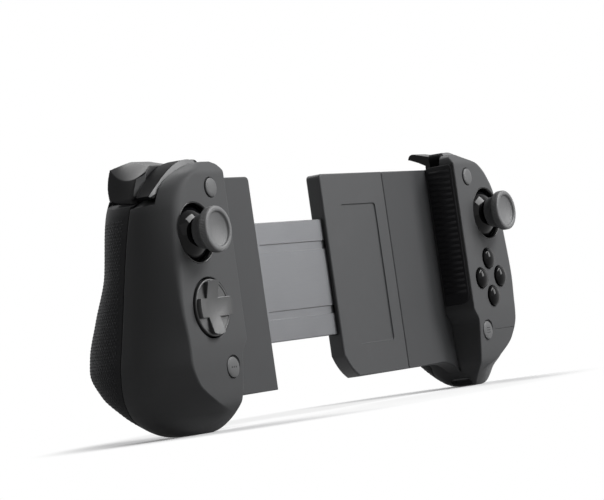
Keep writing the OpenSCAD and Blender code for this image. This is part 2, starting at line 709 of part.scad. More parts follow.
module trigger() difference() {
    intersection() {
        translate([trigger_in, 0, 0]) rotate([90, 0, 90]) linear_extrude(trigger_w) polygon(trigger_side);
        behind(0, trigger_reach + 1) polygon(trigger_brow);
    }
    translate([lug_u.x - lug_gap, 0, bay_floor])
        cube([lug_u.y + 2 * lug_gap, trigger_front + lug_slot.x, lug_slot.y]);
    along_pin(trigger_in + pin_cover) cylinder(d = pin_d + 2 * pin_gap, h = trigger_w - 2 * pin_cover);
}
module along_pin(u) translate([u, trigger_pin.x, trigger_pin.y]) rotate([0, 90, 0]) children();
module trigger_bracket() difference() {
    union() {
        translate([lug_u.x - lug_foot.x, trigger_pin.x - lug_r, bay_floor])
            cube([lug_u.y + 2 * lug_foot.x, 2 * lug_r, lug_foot.y]);
        translate([lug_u.x, trigger_pin.x - lug_r, bay_floor])
            cube([lug_u.y, 2 * lug_r, trigger_pin.y - bay_floor]);
        along_pin(lug_u.x) cylinder(r = lug_r, h = lug_u.y);
    }
    along_pin(lug_u.x - 1) cylinder(d = pin_d + 2 * screw_gap, h = lug_u.y + 2);
}
module trigger_hinge_pin() along_pin(trigger_in + pin_cover + side_gap)
    cylinder(d = pin_d, h = trigger_w - 2 * (pin_cover + side_gap));

bumper_in = bay_in + 0.6;
bumper_pin = [bumper_in + 2.4, bay_floor + 9];
bumper_bevel = 1.5;
bumper_out = handle_w - 8;
// A point of the bumper, inwards from its outer end and up from the bay's floor.
function from_out(back, up) = [bumper_out - back, up];
bumper_foot = [from_out(1.6, -1.3), from_out(6, 0.9), from_out(8.5, 1.8), [bumper_in + 5, 2]];
// Outline of the bumper at one depth: its top, where the shoulder starts, what it heads for, its tail.
function bumper_ring(depth, rise, start, guide, tail) = [
    for (p = concat(
        [[bumper_in + 0.8, 6.4]],
        curve([bumper_in, rise - 2.5], [bumper_in, rise], [bumper_in + 2.8, rise], 4),
        [[bumper_in + 2.8, rise]],
        curve([bumper_in + start, rise], guide, tail, 8),
        [tail],
        bumper_foot
    )) [p.x, depth, bay_floor + p.y]
];
bumper_front = bay_depth + bay_gap;
bumper_rings = [
    bumper_ring(bumper_front, 9.8, 4.8, from_out(15, 8), from_out(1, -0.6)),
    bumper_ring(bumper_front + bumper_bevel, 12.1, 9.3, from_out(13.5, 5.8), from_out(0, 0.2)),
    bumper_ring(bumper_front + bumper_d, 12.1, 12.8, from_out(4.5, 10.4), from_out(-0.6, 0.2)),
];
// Solid skin over rings of equal length, from front to back.
module skin(rings) {
    size = len(rings[0]);
    end = (len(rings) - 1) * size;
    sides = [for (j = [0:len(rings) - 2], k = [0:size - 1])
        let (a = j * size + k, b = j * size + (k + 1) % size)
        each [[a, a + size, b], [b, a + size, b + size]]];
    polyhedron([for (r = rings) each r], concat(
        sides,
        [[for (k = [0:size - 1]) k]],
        [[for (k = [0:size - 1]) end + size - 1 - k]]
    ));
}
module at_bumper_pin(depth) translate([bumper_pin.x, depth, bumper_pin.y]) rotate([-90, 0, 0])
    children();
module bumper() difference() {
    skin(bumper_rings);
    at_bumper_pin(bay_depth) cylinder(d = pin_d + 2 * pin_gap, h = bumper_d);
}
module bumper_hinge_pin() at_bumper_pin(bay_depth - bay_wall)
    cylinder(d = pin_d, h = bay_wall + bumper_d - bay_gap);

module left_trigger() color("#1f2022") on_handle(-1) trigger();
module right_trigger() color("#1f2022") on_handle(1) trigger();
module left_trigger_bracket() color("#6d6f73") on_handle(-1) trigger_bracket();
module right_trigger_bracket() color("#6d6f73") on_handle(1) trigger_bracket();
module left_trigger_pin() color("#b8babd") on_handle(-1) trigger_hinge_pin();
module right_trigger_pin() color("#b8babd") on_handle(1) trigger_hinge_pin();
module left_bumper() color("#2a2b2d") on_handle(-1) bumper();
module right_bumper() color("#2a2b2d") on_handle(1) bumper();
module left_bumper_pin() color("#b8babd") on_handle(-1) bumper_hinge_pin();
module right_bumper_pin() color("#b8babd") on_handle(1) bumper_hinge_pin();

left_front_shell();
right_front_shell();
left_rear_grip();
right_rear_grip();
left_slot_pad();
right_slot_pad();
left_wing();
right_wing();
bridge_tongue();
bridge_sleeve();
left_board();
right_board();
left_switches();
right_switches();
left_screws();
right_screws();
battery_cell();
charge_port();
left_stick_module();
right_stick_module();
left_stick_yoke();
right_stick_yoke();
left_stick_spindle();
right_stick_spindle();
left_stick_skirt();
right_stick_skirt();
left_stick_cap();
right_stick_cap();
left_stick_ring();
right_stick_ring();
dpad_bracket();
dpad_rocker();
dpad_cap();
face_button_north();
face_button_east();
face_button_south();
face_button_west();
left_top_button();
right_top_button();
left_low_button();
right_low_button();
left_trigger();
right_trigger();
left_trigger_bracket();
right_trigger_bracket();
left_trigger_pin();
right_trigger_pin();
left_bumper();
right_bumper();
left_bumper_pin();
right_bumper_pin();
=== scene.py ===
"""Looks of a telescopic hand-held game controller, built round its packed construction model."""

import json
import math

import bmesh
import bpy
import numpy as np
from bpy.props import FloatProperty, FloatVectorProperty, IntProperty, PointerProperty
from mathutils import Matrix, Vector


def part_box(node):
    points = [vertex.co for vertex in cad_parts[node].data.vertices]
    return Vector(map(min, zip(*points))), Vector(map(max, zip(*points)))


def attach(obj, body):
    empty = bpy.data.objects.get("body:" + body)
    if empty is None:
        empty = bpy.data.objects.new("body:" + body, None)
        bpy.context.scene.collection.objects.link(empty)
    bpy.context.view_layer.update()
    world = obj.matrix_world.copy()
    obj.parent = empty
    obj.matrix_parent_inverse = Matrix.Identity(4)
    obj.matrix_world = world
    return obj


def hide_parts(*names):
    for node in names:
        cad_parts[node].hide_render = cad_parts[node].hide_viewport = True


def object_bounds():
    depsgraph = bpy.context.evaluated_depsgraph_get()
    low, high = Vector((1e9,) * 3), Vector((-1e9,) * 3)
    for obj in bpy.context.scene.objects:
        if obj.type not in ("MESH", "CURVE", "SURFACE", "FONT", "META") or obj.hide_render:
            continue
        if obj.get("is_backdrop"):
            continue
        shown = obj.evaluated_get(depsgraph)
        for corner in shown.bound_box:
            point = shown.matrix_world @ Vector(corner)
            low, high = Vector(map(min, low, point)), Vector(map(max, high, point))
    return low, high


bl_info = {
    "name": "Telescopic game controller",
    "version": (1, 0, 0),
    "blender": (4, 5, 0),
    "location": "3D View > Sidebar > Controller",
    "description": "Builds the shells, grips, controls and bridge of a telescopic game controller",
    "category": "Object",
}

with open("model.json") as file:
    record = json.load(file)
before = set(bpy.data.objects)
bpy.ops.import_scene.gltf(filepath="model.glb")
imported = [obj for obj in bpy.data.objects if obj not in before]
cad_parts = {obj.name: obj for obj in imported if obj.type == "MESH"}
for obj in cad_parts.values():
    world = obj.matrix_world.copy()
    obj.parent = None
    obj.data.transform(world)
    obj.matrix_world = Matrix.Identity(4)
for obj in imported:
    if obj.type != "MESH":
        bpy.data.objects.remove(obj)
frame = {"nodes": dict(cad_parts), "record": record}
CAD_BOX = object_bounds()
NODES = frame["nodes"]
SIDES = {"left": -1, "right": 1}
WAYS = ("north", "east", "south", "west")
# Materials, by the record's slot or by their own name
finishes = {}

# Handle space is in millimetres: outwards from the inner wall, backwards from the face, up.
MM = 0.001
WALL_X, FACE_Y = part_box("right_front_shell")[0].xy


def node_box(node, side=1):
    """A node's lowest and highest corner in handle space."""
    low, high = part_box(node)
    outwards = sorted((side * low.x, side * high.x))
    return (
        np.array([outwards[0] - WALL_X, low.y - FACE_Y, low.z]) / MM,
        np.array([outwards[1] - WALL_X, high.y - FACE_Y, high.z]) / MM,
    )


def centre_of(node, side=1):
    """Centre of a control on the face: outwards and up."""
    low, high = node_box(node, side)
    return (low[[0, 2]] + high[[0, 2]]) / 2


def half_width(node, side=1):
    """Half the width of a node, which is the radius of a round one."""
    low, high = node_box(node, side)
    return (high[0] - low[0]) / 2


SHELL_TOP = node_box("right_front_shell")[1]
HANDLE = np.array([SHELL_TOP[0], node_box("right_rear_grip")[1][1], SHELL_TOP[2]])
BAY_FLOOR = node_box("right_trigger_bracket")[0][2]
SLEEVE = node_box("bridge_sleeve")
TONGUE = node_box("bridge_tongue")
TRIGGER = node_box("right_trigger")
BUMPER = node_box("right_bumper")
PORT = node_box("charge_port")

# Axes of handle space
OUT, BACK, UP = range(3)

# Wall and parting line of the handles, as the construction model has them
WALL = 2.2
SEAM_DEPTH = 28.0
SEAM_SLOPE = math.tan(math.radians(9))
SEAM_GAP = 0.15
RIM_W = 5.0

# Loops of the handles, reach of cutters past them, mouths of the holes, fine line on the right face
LOOP_PITCH = 1.0
LEAST_ROOM = 0.3
HOLLOW_PITCH = 4.0
HOLLOW_EDGE = 0.3
OVER = 9.0
MOUTH_ARC = math.radians(82)
MOUTH_APRON = 0.1
LINE_START = 2.5
LINE_HALF = 0.1
LINE_DEPTH = 0.2

# Bay of trigger and bumper, with a well in its floor and a lip behind the well
BAY_DEPTH = 6.5
BAY_WALL = 1.5
BAY_IN = WALL + 0.4
BAY_CHAMFER = 1.4
BAY_SHOULDER = (HANDLE[0] - 16.2, 8.0)
FRONT_DROP = 3.5
REAR_DROP = 2.6
WELL_IN = TRIGGER[0][0] - 1.3
WELL_OUT = TRIGGER[1][0] - 3.3
WELL_ENDS = TRIGGER[0][1] + 5.0, TRIGGER[1][1] + 2.0
WELL_FLOOR = BAY_FLOOR - 3.0
REAR_LIP = 1.35
LIP_GAP = 0.3
LIP_STEPS = ((0, 0), (0.4, 0.75), (1.3, 1))

# Pips of the rear grips
PIP_LEVELS = (6.5, WELL_FLOOR - 4.0)
PIP_ROWS = 0.87
PIP_MARGIN = 2.4

# Bridge and slot pads
SLIDE_GAP = 0.2
SEAT_GAP = 0.02
SEAT_REACH = 13.5
WING_END = 4
WING_LAP = 0.2
FLARE_TOP = 29.5
FLARE_IN = (-9, -1)
BRIDGE_CORNER = 2.0
SLEEVE_CHAMFER = 9
PANEL_INSET = (12, 8)
PANEL_DEPTH = 0.5
TONGUE_ROUND = 0.35
GROOVE_PLACES = (0.22, 0.78)
GROOVE_START = 16
GROOVE_HALF = 1.6
GROOVE_DEPTH = 0.45
PAD_CORNERS = (4, 1.5)
PAD_EDGES = (0.02, 0.35)
RIB_T = 0.25
RIB_R = 0.62
RIB_INSET = 1.8
RIB_ENDS = (5, 2.5)

# Sticks
RING_W = 1.1
BALL_R = 12.0
BALL_SKIN = 1.4
BALL_ANGLE = math.radians(62)
PIVOT_DEPTH = 9.5
BORE_R = 1.65
NECK_R = 4.2
NECK_ROOT_R = 4.6
KNURLS = 90
KNURL_DEPTH = 0.13
KNURL_SPAN = (2.6, 0.5)

# Direction pad and buttons
DPAD_HOLE_R = 21.1 / 2
DPAD_ARM = 3.3
DPAD_RISE = (0.85, 2.5)
DPAD_EDGE = 0.14
FACE_BUTTON_R = 8.1 / 2
TOP_BUTTON_R = 6.6 / 2
LOW_BUTTON_R = 7.2 / 2
FACE_CROWN = 1.7
SMALL_CROWN = 0.4
LOW_PROUD = 0.35
BUTTON_GAP = 0.2
FLANGE_T = 0.6
FLANGE_GAP = 0.3
STEM_R = 1.3
MARK_PROUD = 0.03
MARK_DEPTH = 0.2
BAR_HALF = (1.3, 0.17)
BAR_PITCH = 0.95
DOT_R = 0.34
DOT_PITCH = 1.2

# Triggers and bumpers, with heights above the bay's floor
TRIGGER_IN, TRIGGER_FRONT = TRIGGER[0][:2]
TRIGGER_OUT, TRIGGER_TIP = TRIGGER[1][:2]
TRIGGER_RISE = 14.2
TRIGGER_FOOT = -3.0
TRIGGER_PULL = math.radians(16)
PIN_BACK = 2.4
PIN_UP = 4.5
LUG_SLOT = (18.75, 23.25)
LUG_TOP = 7.6
HOOK_OUT = 24.0
CREST_OUT = (27.0, 30.5, 30.2)
CREST_UP = (9.2, 6.8, 11.1)
FACET_STEPS = np.array([0, 0.9, 1.8, 2.7])
FACET_SKIN = (0.04, -0.04, 0.02)
FACET_ROOT = (-0.5, 0.3, -0.3)
TRIGGER_GRID = 0.2
BUMPER_GRID = 0.16

# Sections of a handle on a block 43 wide, 48 deep and 93.3 high, from the foot up.
# Each row: height, inner wall, face, crease, crease radius, outermost point,
# depth of that point, place of the rearmost point, its depth, depth of the inner rim.
DRAWN = np.array([43.0, 48.0, 93.3])
SECTIONS = np.array([
    [0, 12.3, 11.3, 17, 4, 22.5, 16, 17, 21, 17.5],
    [0.5, 10.6, 10.1, 16, 4.5, 26, 16.5, 17.5, 24, 18],
    [2.3, 7.8, 8.1, 14, 4, 30.5, 17.5, 18, 27.5, 20],
    [5.8, 5.3, 5.1, 11, 3, 35, 18.5, 18, 32, 21.5],
    [9.8, 4.1, 2.6, 18.5, 0.6, 38.8, 19.5, 17.5, 36.5, 22],
    [17.3, 3.6, 1.3, 30, 0.6, 42.2, 20.5, 17, 44, 22],
    [25.5, 3.3, 0.3, 34, 0.8, 43, 20.5, 17, 48, 22],
    [31, 0, 0, 34.2, 0.8, 42.5, 19.5, 17, 47.5, 21.5],
    [43, 0, 0, 35.4, 1.2, 41.3, 18.5, 17, 43, 21],
    [59, 0, 0, 34.5, 2, 39.8, 16.5, 16.8, 36.3, 20.5],
    [77, 0, 0, 30.6, 2.5, 37, 14.5, 15.8, 34.5, 20.5],
    [84.3, 0, 0, 26.3, 3, 32.8, 13.5, 15.3, 33.5, 20.5],
    [89, 0, 0, 20.5, 3, 25.8, 12.5, 13.8, 30, 20],
    [92, 0.7, 2, 12.5, 3, 17.5, 11.5, 11, 24, 18.5],
    [93.3, 2.8, 3.4, 9, 1.5, 12, 10.5, 7.5, 18, 15.5],
])
GROW = HANDLE / DRAWN
# Power of the rounding from a handle's outermost point to its rearmost one: 1 is an ellipse.
PALM = 0.77


def length(label, what, metres):
    """A length property of the object."""
    return FloatProperty(name=label, description=what, default=metres, unit="LENGTH")


def colour(label, what, rgb):
    """A colour property of the object."""
    return FloatVectorProperty(
        name=label, description=f"Colour of {what}", default=rgb, subtype="COLOR", min=0, max=1)


class ControllerSizes(bpy.types.PropertyGroup):
    """Sizes of the finish that a user would change, in metres."""

    seam_round: length("Seam rounding", "Rounding of the lips along the parting line", 0.00028)
    edge_round: length("Face edge", "Rounding of the edge between face and inner wall", 0.0006)
    mouth_round: length("Hole mouth", "Rounding of the mouth of each hole in the face", 0.0004)
    pip_width: length("Pip width", "Radius of a raised pip on the rear grips", 0.00044)
    pip_height: length("Pip height", "Height of a raised pip on the rear grips", 0.00006)
    pip_pitch: length("Pip pitch", "Distance between the pips on the rear grips", 0.0013)
    bridge_round: length("Bridge rounding", "Rounding of the bridge's long edges", 0.0007)
    pad_ribs: IntProperty(
        name="Pad ribs", description="Number of ribs on a slot pad", default=22, min=4, max=60)


class ControllerColours(bpy.types.PropertyGroup):
    """Colours of the controller's finishes."""

    shell: colour("Shell", "the front shells", (0.082, 0.083, 0.085))
    grip: colour("Grip", "the rear grips", (0.034, 0.0345, 0.036))
    pad: colour("Pad", "the rubber pads at the slot's ends", (0.010, 0.010, 0.011))
    wing: colour("Wing", "the wings of the bridge", (0.056, 0.057, 0.059))
    tongue: colour("Tongue", "the sliding tongue", (0.13, 0.132, 0.138))
    sleeve: colour("Sleeve", "the bridge's sleeve", (0.034, 0.035, 0.037))
    skirt: colour("Skirt", "the ball-shaped stick skirts", (0.003, 0.003, 0.0035))
    ring: colour("Ring", "the liners of the stick wells", (0.006, 0.006, 0.0065))
    cap: colour("Stick cap", "the stick caps", (0.1, 0.101, 0.103))
    dpad: colour("Direction pad", "the direction pad", (0.04, 0.0405, 0.0415))
    button: colour("Button", "the glossy face buttons", (0.004, 0.004, 0.0045))
    small_button: colour("Small button", "the small buttons", (0.088, 0.089, 0.091))
    trigger: colour("Trigger", "the triggers", (0.019, 0.019, 0.020))
    bumper: colour("Bumper", "the bumpers", (0.012, 0.012, 0.0125))
    # Painted highlight: a light copy of the dark trigger and bumper plastic, for strips along their front
    # edges.
    facet: colour("Facets", "the facets along triggers and bumpers", (0.12, 0.121, 0.123))
    mark: colour("Mark", "the printed marks", (0.012, 0.012, 0.013))
    board: colour("Board", "the circuit boards", (0.012, 0.075, 0.032))
    steel: colour("Steel", "pins, screws and switches", (0.56, 0.57, 0.58))
    bracket: colour("Bracket", "moulded inner brackets", (0.17, 0.172, 0.18))
    floor: colour("Floor", "the floor", (0.70, 0.70, 0.705))


def sizes():
    """The sizes of this scene."""
    return bpy.context.scene.controller_sizes


# Mesh building


def to_frame(side, points):
    """Handle-space points of one side in the object's frame, in metres."""
    p = np.asarray(points, float)
    return np.stack([side * (WALL_X + p[..., 0] * MM), FACE_Y + p[..., 1] * MM, p[..., 2] * MM], -1)


def link_mesh(name, mesh):
    """An object of a mesh in the scene."""
    obj = bpy.data.objects.new(name, mesh)
    bpy.context.scene.collection.objects.link(obj)
    return obj


def new_mesh(name, side, points, faces):
    """A mesh object of handle-space points, its faces turned outwards."""
    mesh = bpy.data.meshes.new(name)
    mesh.from_pydata([tuple(p) for p in to_frame(side, points)], [], faces)
    return turn_outwards(link_mesh(name, mesh))


def turn_outwards(obj):
    """Merges doubles and turns the faces of a closed mesh outwards."""
    grid = bmesh.new()
    grid.from_mesh(obj.data)
    bmesh.ops.remove_doubles(grid, verts=grid.verts, dist=1e-7)
    bmesh.ops.recalc_face_normals(grid, faces=grid.faces)
    grid.to_mesh(obj.data)
    grid.free()
    return obj


def loft(loops, ring=False):
    """Points and faces of a skin over equal loops: capped at both ends, or joined into a ring."""
    loops = np.asarray(loops, float)
    rows, columns = loops.shape[:2]
    faces = []
    for j in range(rows if ring else rows - 1):
        up = ((j + 1) % rows - j) * columns
        for k in range(columns):
            a, b = j * columns + k, j * columns + (k + 1) % columns
            faces.append((a, b, b + up, a + up))
    if not ring:
        faces += [tuple(range(columns))[::-1], tuple(range((rows - 1) * columns, rows * columns))]
    return loops.reshape(-1, 3), faces


def loop_at(axis, place, outline):
    """A loop in handle space: an outline on the other two axes, at one place along an axis."""
    return np.insert(np.asarray(outline, float), axis, place, axis=1)


def prism(name, side, axis, outline, *places):
    """A prism of an outline between two places along an axis."""
    return new_mesh(name, side, *loft([loop_at(axis, place, outline) for place in places]))


def block(name, side, low, high):
    """A plain block, for cutting."""
    corners = [(low[0], low[1]), (high[0], low[1]), (high[0], high[1]), (low[0], high[1])]
    return prism(name, side, UP, corners, low[2], high[2])


def turned(name, side, centre, profile, steps=96, ring=False):
    """A solid turned about an axis out of the face: profile holds radius and height above it."""
    angle = np.linspace(0, 2 * np.pi, steps, endpoint=False)
    circle = np.column_stack([np.cos(angle), np.sin(angle)])
    return new_mesh(name, side, *loft([loop_at(BACK, -h, centre + r * circle) for r, h in profile], ring))


def bezier(a, b, c, count):
    """Points of a parabola from a to c that heads for b, both ends included."""
    t = np.linspace(0, 1, count)[:, None]
    a, b, c = (np.asarray(p, float) for p in (a, b, c))
    return a * (1 - t) ** 2 + b * 2 * t * (1 - t) + c * t**2


def corner(at, start, end, count):
    """Points of a rounded corner, whose start and end are given from the corner."""
    return bezier(np.add(at, start), at, np.add(at, end), count)


def path(*stops):
    """Points of an outline: a stop is a point, a row of points, or a curve's guide, end and count."""
    points = []
    for stop in stops:
        if isinstance(stop, tuple) and len(stop) == 3:
            points += list(bezier(points[-1], *stop)[1:])
        else:
            points += list(np.atleast_2d(np.asarray(stop, float)))
    return np.array(points)


def through(stops, values):
    """The parabola through three values at three stops, as a function."""
    return np.poly1d(np.polyfit(stops, values, 2))


def inset(points, width):
    """A closed outline with every point moved inwards by width."""
    before, after = np.roll(points, 1, 0), np.roll(points, -1, 0)
    along = after - before
    along /= np.maximum(np.linalg.norm(along, axis=1), 1e-9)[:, None]
    inwards = np.stack([-along[:, 1], along[:, 0]], -1)
    area = np.sum(points[:, 0] * after[:, 1] - after[:, 0] * points[:, 1])
    return points + inwards * (width if area > 0 else -width)


def pillow(outline, start, end, first, last, steps=5):
    """Levels and loops of a prism with its two end edges rounded by first and last."""
    turn = np.linspace(0, np.pi / 2, steps)
    loops = [(start + first * (1 - np.cos(a)), inset(outline, first * (1 - np.sin(a)))) for a in turn]
    return loops + [(end - last * (1 - np.sin(a)), inset(outline, last * (1 - np.cos(a)))) for a in turn]


def plate(name, side, outline, start, end, rounding):
    """A plate whose outline is outwards and up, from one depth to another, with rounded edges."""
    levels = pillow(outline, start, end, rounding, rounding)
    return new_mesh(name, side, *loft([loop_at(BACK, depth, p) for depth, p in levels]))


def bar(name, side, low, high, rounding):
    """A bar with round corners, and with rounded edges at its front and its back."""
    r = min(4 * rounding, (high[2] - low[2]) / 2.2, (high[0] - low[0]) / 2.2)
    outline = path(
        corner((high[0], high[2]), (0, -r), (-r, 0), 6), corner((low[0], high[2]), (r, 0), (0, -r), 6),
        corner((low[0], low[2]), (0, r), (r, 0), 6), corner((high[0], low[2]), (-r, 0), (0, r), 6),
    )
    return plate(name, side, outline, low[1], high[1], rounding)


def settle(obj):
    """Replaces an object's mesh by its evaluated one and clears the modifiers."""
    graph = bpy.context.evaluated_depsgraph_get()
    mesh = bpy.data.meshes.new_from_object(obj.evaluated_get(graph))
    obj.modifiers.clear()
    old = obj.data
    obj.data = mesh
    bpy.data.meshes.remove(old)
    return obj


def modify(obj, kind, **settings):
    """Runs one modifier on an object and keeps the result as its mesh."""
    modifier = obj.modifiers.new(kind.lower(), kind)
    for key, value in settings.items():
        setattr(modifier, key, value)
    return settle(obj)


def carve(obj, *others, operation="DIFFERENCE"):
    """Cuts other closed meshes out of obj, or joins or intersects them, and removes them."""
    for other in others:
        before = len(obj.data.vertices)
        modify(obj, "BOOLEAN", operation=operation, solver="MANIFOLD", object=other)
        if len(obj.data.vertices) in (0, before):
            raise RuntimeError(f"{other.name} left {obj.name} as it was")
        bpy.data.objects.remove(other)
    return obj


def soften(obj, voxel, rounds):
    """Rebuilds a solid on a fine grid and rounds its edges."""
    modify(obj, "REMESH", mode="VOXEL", voxel_size=voxel * MM)
    return modify(obj, "SMOOTH", factor=0.5, iterations=rounds)


def shade(obj, degrees=35, weighted=False):
    """Smooth shading with sharp edges past an angle."""
    obj.data.polygons.foreach_set("use_smooth", [True] * len(obj.data.polygons))
    obj.data.set_sharp_from_angle(angle=math.radians(degrees))
    return modify(obj, "WEIGHTED_NORMAL", keep_sharp=True, weight=100) if weighted else obj


def join(obj, *others):
    """Adds the meshes of others to obj."""
    grid = bmesh.new()
    for piece in (obj, *others):
        grid.from_mesh(piece.data)
    grid.to_mesh(obj.data)
    grid.free()
    for piece in others:
        bpy.data.objects.remove(piece)
    return obj


def finish_piece(obj, body, slot, *nodes, finish=None):
    """Gives a finished piece the material of its slot or of a named finish, puts it on its body and hides
    the nodes it stands for.
    """
    obj.data.materials.clear()
    obj.data.materials.append(finishes[finish or slot])
    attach(obj, body)
    if nodes:
        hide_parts(*nodes)


# The handle's sections


def rows_at(heights):
    """Section values at heights on the drawn block, with no overshoot between the rows."""
    z, values = SECTIONS[:, 0], SECTIONS[:, 1:]
    secant = np.diff(values, axis=0) / np.diff(z)[:, None]
    product = secant[:-1] * secant[1:]
    total = np.where(product > 0, secant[:-1] + secant[1:], 1)
    lean = np.vstack([secant[:1], np.where(product > 0, 2 * product / total, 0), secant[-1:]])
    i = np.clip(np.searchsorted(z, heights, "right") - 1, 0, len(z) - 2)
    step = (z[i + 1] - z[i])[:, None]
    t = (heights - z[i])[:, None] / step
    found = values[i] * (1 + 2 * t) * (1 - t) ** 2 + step * lean[i] * t * (1 - t) ** 2
    found += values[i + 1] * t**2 * (3 - 2 * t) + step * lean[i + 1] * t**2 * (t - 1)
    across, back = GROW[0], GROW[1]
    return found * [across, back, across, 1, across, back, across, back, back]


def fine_heights(pitch):
    """Heights on the drawn block, each section row among them, about pitch apart."""
    heights = [0.0]
    for low, high in zip(SECTIONS[:-1, 0], SECTIONS[1:, 0]):
        steps = max(4, math.ceil((high - low) / pitch))
        heights += list(np.linspace(low, high, steps + 1)[1:])
    return np.array(heights)


def face_depth(height):
    """Depth of the receding face at a height."""
    return rows_at(np.array([height / GROW[2]]))[0][1]


def seam_at(height):
    """Depth of the parting line at a height."""
    return SEAM_DEPTH - SEAM_SLOPE * height


class Section:
    """One section of a handle: its landmarks, inset by a wall, and its round stretches."""

    def __init__(self, row, wall=0.0):
        inner, face, crease, bend, out_u, out_d, rear_u, rear_d, rim = row
        self.inner, self.face, self.rim = inner + wall, face + wall, rim
        self.crease = crease - 0.6 * wall
        self.bend = min(bend, 0.8 * (self.crease - self.inner))
        self.corner = np.array([self.crease, self.face])
        self.out = np.array([out_u - wall, out_d])
        self.rear = np.array([rear_u, rear_d - wall])
        self.guide = np.array([self.out[0], self.face + 0.55 * (out_d - self.face)])
        heading = self.guide - self.corner
        self.side = self.corner + heading / np.linalg.norm(heading) * self.bend

    def outer(self, angles):
        """Points between the outermost one, at 0, and the rearmost one."""
        return np.stack([
            self.rear[0] + (self.out[0] - self.rear[0]) * np.maximum(np.cos(angles), 0) ** PALM,
            self.out[1] + (self.rear[1] - self.out[1]) * np.sin(angles) ** PALM,
        ], -1)

    def rearward(self, angles):
        """Points between the rearmost one, at 0, and the inner rim."""
        return np.stack([
            self.rear[0] + (self.inner - self.rear[0]) * np.sin(angles),
            self.rim + (self.rear[1] - self.rim) * np.cos(angles),
        ], -1)

    def front(self, edge):
        """The face, its crease and the side, from the inner wall to the outermost point."""
        return path(
            corner((self.inner, self.face), (0, edge), (edge, 0), 5),
            (self.crease - self.bend, self.face), (self.corner, self.side, 9), (self.guide, self.out, 20),
        )

    def whole(self, edge, count):
        """The whole outline."""
        angles = np.linspace(0, math.pi / 2, count)[1:]
        return path(self.front(edge), self.outer(angles), self.rearward(angles))

    def parting(self, gap):
        """The parting line's depth, and the angles at which it meets the outer side and the rim."""
        seam = min(self.seam + gap, self.rear[1] - 0.02)
        ratio = (seam - self.out[1]) / (self.rear[1] - self.out[1])
        enter = math.asin(ratio ** (1 / PALM))
        at_rim = math.asin(min(1, (self.rear[0] - RIM_W - gap) / (self.rear[0] - self.inner)))
        at_seam = math.acos(max(0, min(1, (seam - self.rim) / (self.rear[1] - self.rim))))
        return seam, enter, min(at_rim, at_seam)


def angle_step(curve, angle, length):
    """The change of angle that moves a point of a curve by about a length."""
    speed = np.linalg.norm(curve(angle + 0.005) - curve(angle - 0.005)) / 0.01
    return length / max(speed, 1e-6)


def parting_lip(section, gap, lip_r):
    """Landmarks of the parting line in one section: its ends, its turn at the rim and its lips."""
    seam, enter, leave = section.parting(gap)
    start, end = section.outer(enter), section.rearward(leave)
    r = min(lip_r, 0.2 * (start[0] - end[0]))
    turn = np.array([end[0] + max(0, 2 * r - (end[1] - seam)), seam])
    towards = (turn - end) / np.linalg.norm(turn - end)
    steps = angle_step(section.outer, enter, r), angle_step(section.rearward, leave, r)
    return start - [r, 0], start, (enter, steps[0]), turn, end + towards * r, end, (leave, steps[1])


def front_outline(section, edge, lip_r):
    """The front shell in one section: round the face, then along the parting line."""
    on_seam, start, (enter, step), turn, on_rim, end, (leave, back) = parting_lip(section, 0, lip_r)
    return path(
        section.front(edge),
        section.outer(np.linspace(0, enter - step, 8)[1:]),
        (start, on_seam, 4), turn, on_rim, (end, section.rearward(leave + back), 4),
        section.rearward(np.linspace(leave + back, math.pi / 2, 10)[1:]),
    )


def rear_outline(section, lip_r):
    """The rear grip in one section: along the parting line, then round the palm."""
    lip = parting_lip(section, SEAM_GAP, lip_r)
    on_seam, start, (enter, step), turn, on_rim, end, (leave, back) = lip
    return path(
        on_seam, (start, section.outer(enter + step), 4),
        section.outer(np.linspace(enter + step, math.pi / 2, 24)[1:]),
        section.rearward(np.linspace(0, leave - back, 24)[1:]),
        (end, on_rim, 4), turn,
    )


def handle_loops(outline, heights, wall=0.0):
    """Loops of a handle at heights on the drawn block, from a function of a section."""
    levels = wall + (HANDLE[2] - 2 * wall) * heights / DRAWN[2]
    loops = []
    for row, level in zip(rows_at(heights), levels):
        section = Section(row, wall)
        section.seam = seam_at(level)
        loops.append(loop_at(UP, level, outline(section)))
    return loops


def bay(side, gap, drop):
    """The room for trigger and bumper behind the face: its shoulder drops, and a lip ends it."""
    outer, run = BAY_SHOULDER
    bridge_top = SLEEVE[1][2]
    lip_at = WELL_ENDS[1] + LIP_GAP + gap
    stations = [(BAY_DEPTH - gap, 0), *((lip_at + d, lip) for d, lip in LIP_STEPS), (HANDLE[1] + OVER, 1)]
    loops = []
    for depth, lip in stations:
        floor = BAY_FLOOR - gap + lip * REAR_LIP
        loops.append(loop_at(BACK, depth, [
            [-OVER, HANDLE[2] + OVER],
            [-OVER, bridge_top - gap],
            [BAY_IN - gap, bridge_top - gap],
            [BAY_IN - gap, BAY_FLOOR + BAY_CHAMFER - gap],
            [BAY_IN + BAY_CHAMFER - gap, floor],
            [outer, floor],
            [outer + run, floor - drop],
            [HANDLE[0] + OVER, floor - drop],
            [HANDLE[0] + OVER, HANDLE[2] + OVER],
        ]))
    return new_mesh("bay_room", side, *loft(loops))


def well(side, gap):
    """The well in the bay's floor that the trigger sinks into."""
    low = WELL_IN - gap, WELL_ENDS[0] - gap, WELL_FLOOR - gap
    high = WELL_OUT + gap, WELL_ENDS[1] + gap, BAY_FLOOR + 1 + gap
    return block("bay_well", side, low, high)


def cavity(side):
    """The hollow of a handle, clear of the bay's walls."""
    loops = handle_loops(lambda section: section.whole(HOLLOW_EDGE, 12), fine_heights(HOLLOW_PITCH), WALL)
    hollow = new_mesh("hollow", side, *loft(loops))
    return carve(hollow, bay(side, BAY_WALL, FRONT_DROP), well(side, BAY_WALL))


